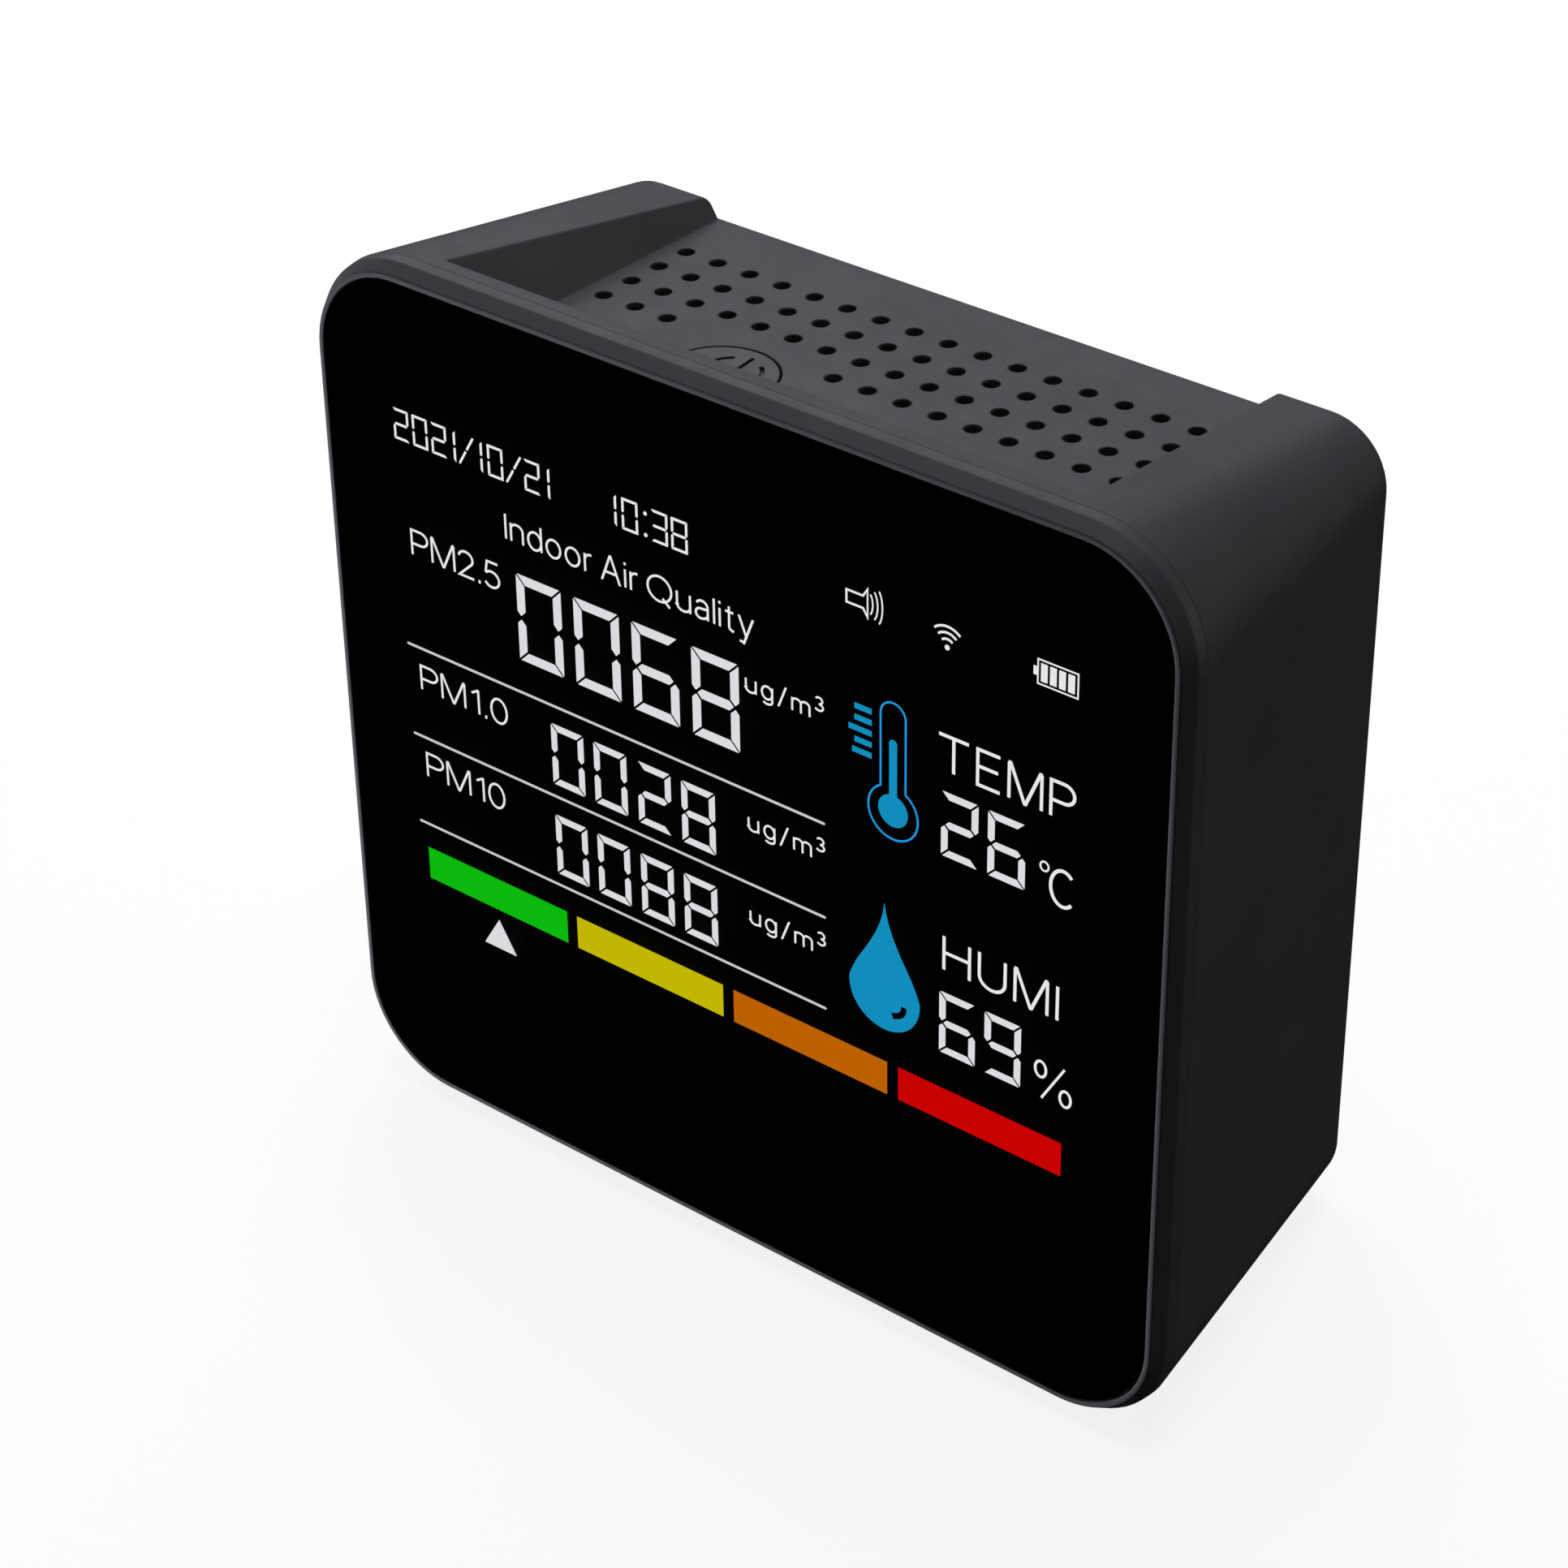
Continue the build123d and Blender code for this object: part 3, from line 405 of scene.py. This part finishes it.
def battery_wrap():
    """Aluminium laminate of the battery, lightly crinkled."""
    material, tree, shader = surface("battery_wrap", (0.52, 0.53, 0.55), 0.34, 0.9)
    folds = cells(tree, 5.0, {"Smoothness": 0.6}, feature="SMOOTH_F1")
    fine = noise(tree, 1.2, 3.0)
    painted(tree, shader, fine, (0.42, 0.43, 0.45), (0.58, 0.59, 0.61))
    roughened(tree, shader, fine, 0.26, 0.42)
    bumped(tree, shader, fine, 0.02, after=bumped(tree, shader, folds, 0.15, 0.4))
    return material


def dust_mesh():
    """Fine woven mesh whose gaps between the threads are painted dark as shade."""
    material, tree, shader = surface("dust_mesh", (0.012, 0.012, 0.013), 0.7, specular=0.25)
    threads = combined(tree, stripes(tree, "X", 0.9), stripes(tree, "Y", 0.9), "MAXIMUM")
    # Painted shade: the gaps between the threads, where the bump dips, are darker than the threads.
    painted(tree, shader, threads, (0.0008, 0.0008, 0.0008), (0.009, 0.009, 0.010), 0.6, 0.95)
    bumped(tree, shader, threads, 0.06)
    return material


def lit(name, colour, strength=1.0):
    """Lit area of the display: plain light over a dark body with the grid of the display's dots."""
    material, tree, shader = surface(name, (0.0, 0.0, 0.0), 0.5, specular=0.0)
    dots = cells(tree, 0.11, {"Randomness": 0.0})
    painted(tree, shader, dots, (0.003, 0.003, 0.003), (0.0005, 0.0005, 0.0005), 0.3, 0.5)
    roughened(tree, shader, dots, 0.4, 0.6)
    shader.inputs["Emission Color"].default_value = (*colour, 1)
    shader.inputs["Emission Strength"].default_value = strength
    return material


# ---------------------------------------------------------------- flat shapes on the display
# Shapes are drawn in x and z from the middle of the display. DISPLAY_SHIFT and DISPLAY_SCALE bring
# them to their places behind the glass.

DISPLAY_SHIFT = (-0.95, -0.86)
DISPLAY_SCALE = 1.01
LIT_FRONT, LIT_BACK = 1.155, 1.185
MITRE_LIMIT = 0.4


def arc(x, z, rx, rz, start, end, steps=14):
    """Points on an ellipse from one angle to another, in degrees, anticlockwise if end > start."""
    angles = [math.radians(start + (end - start) * k / steps) for k in range(steps + 1)]
    return [(x + rx * math.cos(a), z + rz * math.sin(a)) for a in angles]


class Sheet:
    """Flat shapes of one colour, made as thin solid plates just behind the glass."""

    def __init__(self, lift=0.0):
        self.bm = bmesh.new()
        self.depths = (LIT_FRONT - lift, LIT_BACK - lift)

    def vertex(self, point, back):
        return self.bm.verts.new((point[0], self.depths[back], point[1]))

    def polygon(self, points):
        """Plate with this outline."""
        front = [self.vertex(p, False) for p in points]
        rear = [self.vertex(p, True) for p in points]
        self.bm.faces.new(front)
        self.bm.faces.new(rear[::-1])
        for k in range(len(points)):
            n = (k + 1) % len(points)
            self.bm.faces.new((front[k], rear[k], rear[n], front[n]))

    def stroke(self, points, width, closed=False):
        """Plate of even width along a line, with mitred corners."""
        count = len(points)
        sides = []
        for k, point in enumerate(points):
            here = Vector(point)
            before = Vector(points[k - 1]) if closed or k > 0 else None
            after = Vector(points[(k + 1) % count]) if closed or k < count - 1 else None
            into = (here - before).normalized() if before is not None else None
            out = (after - here).normalized() if after is not None else None
            into, out = into or out, out or into
            bisector = Vector((-(into.y + out.y), into.x + out.x)).normalized()
            reach = width / 2 / max(MITRE_LIMIT, bisector.dot(Vector((-into.y, into.x))))
            sides.append((here + bisector * reach, here - bisector * reach))
        rims = [[self.vertex(p, back) for p in pair for back in (False, True)] for pair in sides]
        pairs = list(zip(rims, rims[1:] + ([rims[0]] if closed else [])))
        for (a, b, c, d), (e, f, g, h) in pairs:
            for face in ((a, e, g, c), (b, d, h, f), (a, b, f, e), (c, g, h, d)):
                self.bm.faces.new(face)
        if not closed:
            for a, b, c, d in (rims[0], rims[-1]):
                self.bm.faces.new((a, c, d, b))

    def box(self, x0, x1, z0, z1):
        self.polygon([(x0, z0), (x1, z0), (x1, z1), (x0, z1)])

    def finish(self, name, material):
        """Make the piece, which moves with the body of the monitor."""
        bmesh.ops.recalc_face_normals(self.bm, faces=self.bm.faces)
        mesh = bpy.data.meshes.new(name)
        middle = middle_of("lcd_polarizer")
        shift = Matrix.Translation((middle.x + DISPLAY_SHIFT[0], 0, middle.z + DISPLAY_SHIFT[1]))
        self.bm.transform(GLASS @ shift @ Matrix.Diagonal((DISPLAY_SCALE, 1, DISPLAY_SCALE, 1)))
        self.bm.to_mesh(mesh)
        self.bm.free()
        mesh.materials.append(material)
        piece = bpy.data.objects.new(name, mesh)
        scene.collection.objects.link(piece)
        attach(piece, "monitor")


# Bars that each figure lights: a top, b upper right, c lower right, d bottom, e lower left,
# f upper left, g middle
BARS = {"0": "abcdef", "1": "bc", "2": "abged", "3": "abgcd", "6": "afgedc", "8": "abcdefg",
        "9": "abcdfg"}


def figure(sheet, digit, x, z, width, height, bar, gap, waist):
    """Seven-bar figure with its lower left corner at x, z.

    bar is the width of a bar. gap is left at the corners, waist at the middle.
    """
    middle = height / 2
    side = width - bar
    half = bar / 2

    def flip(points, across, up):
        """Copy of a bar drawn at the upper left or the top, mirrored into its own place."""
        return [(x + (width - p if across else p), z + (height - q if up else q))
                for p, q in points]

    upper_left = [(0, height - gap), (0, middle + waist + 0.45 * bar), (0.45 * bar, middle + waist),
                  (bar, middle + waist + 0.55 * bar), (bar, height - bar - gap)]
    top = [(gap, height), (width - gap, height), (side - gap, height - bar),
           (bar + gap, height - bar)]
    centre = [(half + gap, middle), (bar + gap, middle + half), (side - gap, middle + half),
              (width - half - gap, middle), (side - gap, middle - half), (bar + gap, middle - half)]
    shapes = {
        "a": flip(top, False, False), "d": flip(top, False, True), "g": flip(centre, False, False),
        "f": flip(upper_left, False, False), "b": flip(upper_left, True, False),
        "e": flip(upper_left, False, True), "c": flip(upper_left, True, True),
    }
    for name in BARS[digit]:
        sheet.polygon(shapes[name])


# Each letter has its width, its strokes, and its slanted bars with level ends, given as top and
# foot. Capitals are one unit high.
LETTERS = {
    "A": (0.62, [[(0.12, 0.33), (0.50, 0.33)]],
          [((0.31, 1.0), (0.0, 0.0)), ((0.31, 1.0), (0.62, 0.0))]),
    "C": (0.70, [arc(0.37, 0.5, 0.36, 0.5, 47, 313, 30)], []),
    "E": (0.58, [[(0.58, 1), (0, 1), (0, 0), (0.58, 0)], [(0, 0.53), (0.53, 0.53)]], []),
    "H": (0.68, [[(0, 0), (0, 1)], [(0.68, 0), (0.68, 1)], [(0, 0.52), (0.68, 0.52)]], []),
    "I": (0.0, [[(0, 0), (0, 1)]], []),
    "M": (0.84, [[(0, 0), (0, 1)], [(0.84, 0), (0.84, 1)]],
          [((0.02, 1.0), (0.42, 0.0)), ((0.82, 1.0), (0.42, 0.0))]),
    "P": (0.60, [[(0, 0), (0, 1), (0.34, 1)] + arc(0.34, 0.73, 0.26, 0.27, 90, -90)[1:]
                 + [(0, 0.46)]], []),
    "Q": (0.80, [arc(0.40, 0.5, 0.40, 0.5, 0, 360, 40), [(0.50, 0.16), (0.74, -0.12)]], []),
    "T": (0.78, [[(0, 1), (0.78, 1)], [(0.39, 1), (0.39, 0)]], []),
    "U": (0.68, [[(0, 1), (0, 0.34)] + arc(0.34, 0.34, 0.34, 0.34, 180, 360)[1:]
                 + [(0.68, 1)]], []),
    "a": (0.42, [arc(0.21, 0.50, 0.19, 0.22, 155, 0) + [(0.40, 0.0)],
                 [(0.40, 0.43), (0.20, 0.40)] + arc(0.17, 0.20, 0.17, 0.20, 90, 270)
                 + [(0.30, 0.04), (0.40, 0.16)]], []),
    "d": (0.46, [[(0.46, 0), (0.46, 1)], arc(0.23, 0.36, 0.23, 0.36, 0, 360, 28)], []),
    "g": (0.46, [arc(0.23, 0.36, 0.23, 0.36, 0, 360, 28),
                 [(0.46, 0.72), (0.46, -0.08)] + arc(0.24, -0.08, 0.22, 0.19, 0, -145)[1:]], []),
    "i": (0.0, [[(0, 0), (0, 0.72)], [(0, 0.90), (0, 1.0)]], []),
    "l": (0.0, [[(0, 0), (0, 1)]], []),
    "m": (0.76, [[(0, 0), (0, 0.72)], [(0, 0.45)] + arc(0.19, 0.52, 0.19, 0.20, 180, 0)
                 + [(0.38, 0)],
                 [(0.38, 0.45)] + arc(0.57, 0.52, 0.19, 0.20, 180, 0) + [(0.76, 0)]], []),
    "n": (0.42, [[(0, 0), (0, 0.72)],
                 [(0, 0.45)] + arc(0.21, 0.50, 0.21, 0.22, 180, 0) + [(0.42, 0)]], []),
    "o": (0.48, [arc(0.24, 0.36, 0.24, 0.36, 0, 360, 28)], []),
    "r": (0.22, [[(0, 0), (0, 0.72)], [(0, 0.42)] + arc(0.20, 0.46, 0.20, 0.26, 180, 80)], []),
    "t": (0.26, [[(0.12, 0.93), (0.12, 0.14)] + arc(0.25, 0.13, 0.13, 0.13, 180, 280)[1:],
                 [(0, 0.72), (0.26, 0.72)]], []),
    "u": (0.44, [[(0, 0.72), (0, 0.22)] + arc(0.22, 0.22, 0.22, 0.22, 180, 360),
                 [(0.44, 0), (0.44, 0.72)]], []),
    "y": (0.46, [[(0.15, -0.25), (0.02, -0.25)]],
          [((0.0, 0.72), (0.24, 0.0)), ((0.46, 0.72), (0.14, -0.29))]),
    "0": (0.56, [arc(0.28, 0.5, 0.28, 0.5, 0, 360, 36)], []),
    "1": (0.38, [[(0.34, 0), (0.34, 1)], [(0.10, 0.80), (0.34, 0.985)]], []),
    "2": (0.56, [arc(0.28, 0.72, 0.26, 0.28, 168, -32, 20) + [(0.02, 0.0), (0.56, 0.0)]], []),
    "3": (0.50, [arc(0.24, 0.75, 0.21, 0.25, 150, -90, 18),
                 arc(0.24, 0.25, 0.25, 0.25, 90, -150, 18)], []),
    "5": (0.54, [[(0.50, 1), (0.11, 1), (0.045, 0.53)],
                 arc(0.26, 0.315, 0.28, 0.315, 138, -150, 24)], []),
    ".": (0.08, [[(0.04, -0.05), (0.04, 0.07)]], []),
    "/": (0.34, [], [((0.34, 1.04), (0.0, -0.06))]),
}
SAME_POINT = 1e-6


def lettering(sheet, words, x, z, width, height, weight, gap=0.17, space=0.42):
    """Words fitted between x and x + width, with capitals this high and lines of this weight.

    gap is left between letters and space between words, in the units of LETTERS.
    """
    advance = [space if c == " " else LETTERS[c][0] + gap for c in words]
    rise = height - weight
    reach = (width - weight) / (sum(advance) - gap)
    foot = z + weight / 2
    at = x + weight / 2
    for letter, step in zip(words, advance):
        if letter != " ":
            _, strokes, slanted = LETTERS[letter]
            for points in strokes:
                placed = [(at + p * reach, foot + q * rise) for p, q in points]
                closed = (Vector(placed[0]) - Vector(placed[-1])).length < SAME_POINT
                sheet.stroke(placed[:-1] if closed else placed, weight, closed)
            for top, low in slanted:
                run = Vector(((top[0] - low[0]) * reach, (top[1] - low[1]) * rise))
                half = weight / 2 * run.length / abs(run.y)
                high_x, high_z = at + top[0] * reach, foot + top[1] * rise + weight / 2
                low_x, low_z = at + low[0] * reach, foot + low[1] * rise - weight / 2
                sheet.polygon([(high_x - half, high_z), (high_x + half, high_z),
                               (low_x + half, low_z), (low_x - half, low_z)])
        at += step * reach


# ---------------------------------------------------------------- what the display shows

LIT_COLOURS = {
    "white": (0.83, 0.84, 0.86),
    "grey": (0.76, 0.76, 0.79),
    "soft": (0.62, 0.62, 0.64),
    "green": (0.004, 0.52, 0.004),
    "yellow": (0.58, 0.50, 0.0),
    "orange": (0.53, 0.125, 0.0),
    "red": (0.61, 0.0, 0.0),
    "blue": (0.006, 0.28, 0.53),
    "edge": (0.012, 0.32, 0.72),
}

CLOCK_FIGURES = dict(width=1.60, height=2.73, bar=0.21, gap=0.03, waist=0.09)
LARGE_FIGURES = dict(width=4.67, height=7.84, bar=0.83, gap=0.13, waist=0.17)
SMALL_FIGURES = dict(width=3.41, height=5.69, bar=0.60, gap=0.12, waist=0.15)
CLIMATE_FIGURES = dict(width=3.40, height=5.64, bar=0.60, gap=0.12, waist=0.15)
FIGURE_INSET = 0.03
CLOCK_FOOT = 21.48

LABEL_LEFT, LABEL_HEIGHT, LABEL_WEIGHT = -32.25, 2.45, 0.20
CLIMATE_LABEL_HEIGHT, CLIMATE_LABEL_WEIGHT = 3.29, 0.27
RULE_LEFT, RULE_RIGHT, RULE_HALF = -33.5, 10.1, 0.11


def clock():
    """Date and time in thin figures."""
    sheet = Sheet()
    for digit, left in (("2", -33.24), ("0", -31.21), ("2", -29.19), ("0", -23.23), ("2", -19.40),
                        ("0", -9.46), ("3", -6.50), ("8", -4.54)):
        figure(sheet, digit, left, CLOCK_FOOT, **CLOCK_FIGURES)
    for right in (-26.62, -23.78, -16.78, -10.0):
        figure(sheet, "1", right - CLOCK_FIGURES["width"], CLOCK_FOOT, **CLOCK_FIGURES)
    for left in (-26.25, -21.28):
        for part in ((0.0, 0.46), (0.54, 1.0)):
            ends = [(left + 1.55 * t, 21.55 + 2.62 * t) for t in part]
            sheet.stroke(ends, 0.19)
    for z in (21.75, 23.60):
        sheet.polygon(arc(-7.10, z, 0.17, 0.17, 0, 330, 11))
    sheet.finish("lit_clock", LIT["white"])


def figures(name, look, *rows):
    """Lines of figures in one look. Each line has its digits, their left ends and its foot."""
    sheet = Sheet()
    for digits, lefts, foot in rows:
        for digit, left in zip(digits, lefts):
            figure(sheet, digit, left + FIGURE_INSET, foot + FIGURE_INSET, **look)
    sheet.finish(name, LIT["grey"])


def readings():
    """Particle, temperature and humidity readings."""
    figures("lit_large_figures", LARGE_FIGURES, ("0068", (-20.91, -14.92, -8.94, -2.92), 5.75))
    small_lefts = (-17.96, -13.45, -8.86, -4.35)
    figures("lit_small_figures", SMALL_FIGURES,
            ("0028", small_lefts, -4.72), ("0088", small_lefts, -13.38))
    climate_lefts = (21.07, 25.36)
    figures("lit_climate_figures", CLIMATE_FIGURES,
            ("26", climate_lefts, 4.48), ("69", climate_lefts, -13.49))


def labels():
    """Quantity names and the heading."""
    sheet = Sheet()
    lettering(sheet, "Indoor Air Quality", -21.8, 16.32, 25.2, 2.36, 0.19, gap=0.19, space=0.17)
    for words, z, width in (("PM2.5", 11.28, 9.62), ("PM1.0", -1.32, 9.62), ("PM10", -9.72, 8.80)):
        lettering(sheet, words, LABEL_LEFT, z, width, LABEL_HEIGHT, LABEL_WEIGHT)
    for words, x, z, width, gap in (("TEMP", 20.70, 11.82, 12.45, 0.24),
                                    ("HUMI", 21.35, -5.85, 10.80, 0.26)):
        lettering(sheet, words, x, z, width, CLIMATE_LABEL_HEIGHT, CLIMATE_LABEL_WEIGHT, gap=gap)
    sheet.finish("lit_labels", LIT["white"])


def units():
    """ug/m3, degrees Celsius and per cent."""
    sheet = Sheet()
    for z in (11.60, -0.92, -9.63):
        lettering(sheet, "ug/m", 2.41, z, 6.35, 1.72, 0.17, gap=0.27)
        lettering(sheet, "3", 9.12, z + 0.92, 0.95, 1.30, 0.16)
    lettering(sheet, "C", 30.94, 4.34, 2.43, 3.38, 0.28)
    sheet.stroke(arc(30.53, 7.34, 0.37, 0.40, 0, 345, 23), 0.15, closed=True)
    for x, z in ((30.66, -10.82), (32.98, -12.60)):
        sheet.stroke(arc(x, z, 0.50, 0.72, 0, 345, 23), 0.22, closed=True)
    sheet.stroke([(30.80, -13.41), (32.85, -9.93)], 0.20)
    sheet.finish("lit_units", LIT["white"])


def rules():
    """Lines with pointed ends between the rows."""
    sheet = Sheet()
    for z in (2.70, -5.88, -14.46):
        high, low = z + RULE_HALF, z - RULE_HALF
        start, stop = RULE_LEFT + RULE_HALF, RULE_RIGHT - RULE_HALF
        sheet.polygon([(RULE_LEFT, z), (start, high), (stop, high),
                       (RULE_RIGHT, z), (stop, low), (start, low)])
    sheet.finish("lit_rules", LIT["soft"])


def speaker():
    """Loudspeaker with three sound waves."""
    sheet = Sheet()
    body = [(12.25, 22.92), (13.80, 22.92), (14.21, 22.28), (14.21, 24.62), (13.80, 23.96),
            (12.25, 23.96)]
    sheet.stroke(body, 0.17, closed=True)
    for middle, reach, rise in ((14.27, 0.42, 0.96), (14.56, 0.58, 1.32), (14.98, 0.60, 1.56)):
        sheet.stroke(arc(middle, 23.46, reach, rise, -60, 60), 0.12)
    sheet.finish("lit_speaker_icon", LIT["white"])


def signal():
    """Plain wireless symbol: a dot under three arcs."""
    sheet = Sheet()
    x, z = 21.48, 22.42
    sheet.polygon(arc(x, z, 0.22, 0.22, 0, 340, 17))
    for radius in (0.70, 1.22, 1.74):
        sheet.stroke(arc(x, z, radius, radius, 48, 132, 16), 0.18)
    sheet.finish("lit_signal_icon", LIT["white"])


def battery():
    """Battery with four charge bars."""
    sheet = Sheet()
    outline = [(29.52, 22.47), (33.02, 22.47), (33.02, 24.47), (29.52, 24.47)]
    sheet.stroke(outline, 0.12, closed=True)
    sheet.box(29.14, 29.46, 23.10, 23.82)
    for left in (29.79, 30.58, 31.37, 32.16):
        sheet.box(left, left + 0.57, 22.73, 24.21)
    sheet.finish("lit_battery_icon", LIT["white"])


def thermometer():
    """Outline, column with its bulb, and five ticks."""
    x, bulb, radius, half = 16.59, 6.34, 2.34, 1.17
    tube_top = 15.9 - half
    meet = math.degrees(math.acos(half / radius))
    outline = Sheet()
    tube = arc(x, tube_top, half, half, 180, 0, 20)
    outline.stroke(tube + arc(x, bulb, radius, radius, meet, meet - 360 + 2 * (90 - meet), 44),
                   0.16, closed=True)
    outline.finish("lit_thermometer_outline", LIT["edge"])
    fill = Sheet()
    fill.polygon(arc(x, 12.36, 0.36, 0.36, 180, 0, 12) + arc(x, 6.5, 1.39, 1.39, 75, -255, 36))
    tick_right, tick_half = 14.57, 0.24
    for z, left in ((14.38, 12.96), (13.41, 12.96), (12.46, 12.41), (11.49, 12.96),
                    (10.55, 12.74)):
        fill.box(left, tick_right, z - tick_half, z + tick_half)
    fill.finish("lit_thermometer_fill", LIT["blue"])


def droplet():
    """Drop with a short curved dark mark on it."""
    x, z, radius = 15.80, -10.36, 3.42
    flank = [(0.0, 8.28), (0.14, 7.35), (0.42, 6.35), (0.86, 5.25), (1.42, 4.15), (2.02, 3.12),
             (2.62, 2.12), (3.02, 1.30), (3.30, 0.62)]
    right = [(x + p, z + q) for p, q in flank]
    left = [(x - p, z + q) for p, q in flank[:0:-1]]
    sheet = Sheet()
    sheet.polygon(right + arc(x, z, radius, radius * 1.01, 4, -184, 40) + left)
    sheet.finish("lit_droplet", LIT["blue"])
    mark = Sheet(lift=0.04)
    mark.stroke([(17.72, -10.95), (17.70, -11.35), (17.50, -11.72), (17.15, -11.98),
                 (16.60, -12.18)], 0.52)
    mark.finish("droplet_mark", UNLIT)


def scale_bars():
    """Four coloured bars of the quality scale and the pointer below them."""
    for name, left, right in (("green", -32.69, -17.19), ("yellow", -16.07, -0.55),
                              ("orange", 0.57, 16.07), ("red", 17.17, 32.75)):
        sheet = Sheet()
        sheet.box(left, right, -19.94, -16.86)
        sheet.finish("lit_bar_" + name, LIT[name])
    pointer = Sheet()
    pointer.polygon([(-26.73, -23.90), (-23.18, -23.90), (-24.96, -20.99)])
    pointer.finish("lit_pointer", LIT["grey"])


# ---------------------------------------------------------------- build

scene.view_settings.view_transform = "Standard"
make_camera()
make_world()
make_floor()
for lamp in LAMPS:
    softbox(*lamp)

LIT = {name: lit("lit_" + name, colour) for name, colour in LIT_COLOURS.items()}
UNLIT = lit("unlit", (0.0, 0.0, 0.0), 0.0)

SLOTS = {
    "cover_glass": cover_glass(),
    "black_ink": ink("black_ink", (0.0006, 0.0006, 0.0006), 0.35),
    "display_film": ink("display_film", (0.0016, 0.0016, 0.0018), 0.4),
    "black_tape": moulded("black_tape", (0.015, 0.015, 0.015), 0.7, 0.4, 0.02),
    "case_plastic": moulded("case_plastic", CASE_COLOUR, 0.55, specular=0.25, eased=0.3),
    "button_plastic": moulded("button_plastic", CASE_COLOUR, 0.5, specular=0.25, eased=0.12),
    "display_glass": moulded("display_glass", (0.02, 0.02, 0.024), 0.15, 1.0, 0.001),
    "light_guide": light_guide(),
    "white_plastic": moulded("white_plastic", (0.72, 0.72, 0.69), 0.45),
    "flex_film": flex_film(),
    "circuit_board": circuit_board(),
    "chip_plastic": moulded("chip_plastic", (0.018, 0.018, 0.019), 0.55, 0.1),
    "shield_metal": metal("shield_metal", (0.62, 0.62, 0.60), 0.32, (1, 1, 8)),
    "capacitor_can": metal("capacitor_can", (0.72, 0.72, 0.73), 0.25, (1, 6, 1)),
    "screw_steel": metal("screw_steel", (0.16, 0.16, 0.17), 0.32),
    "sensor_plastic": moulded("sensor_plastic", (0.07, 0.07, 0.075), 0.5),
    "brass": metal("brass", (0.78, 0.56, 0.22), 0.24, (8, 1, 1)),
    "coil_copper": coil_copper(),
    "foam": foam(),
    "cable_jacket": cable_jacket(),
    "battery_wrap": battery_wrap(),
    "dust_mesh": dust_mesh(),
    "foot_rubber": moulded("foot_rubber", (0.018, 0.018, 0.018), 0.8, 0.25, 0.01, specular=0.3),
}


def dress(record):
    """Give each CAD node the material of its slot."""
    for part in record["subparts"]:
        node = frame["nodes"][part["node"]]
        for place in node.material_slots:
            place.material = SLOTS[part["material_slot"]]


dress(frame["record"])
for make in (clock, readings, labels, units, rules, speaker, signal, battery, thermometer, droplet,
             scale_bars):
    make()
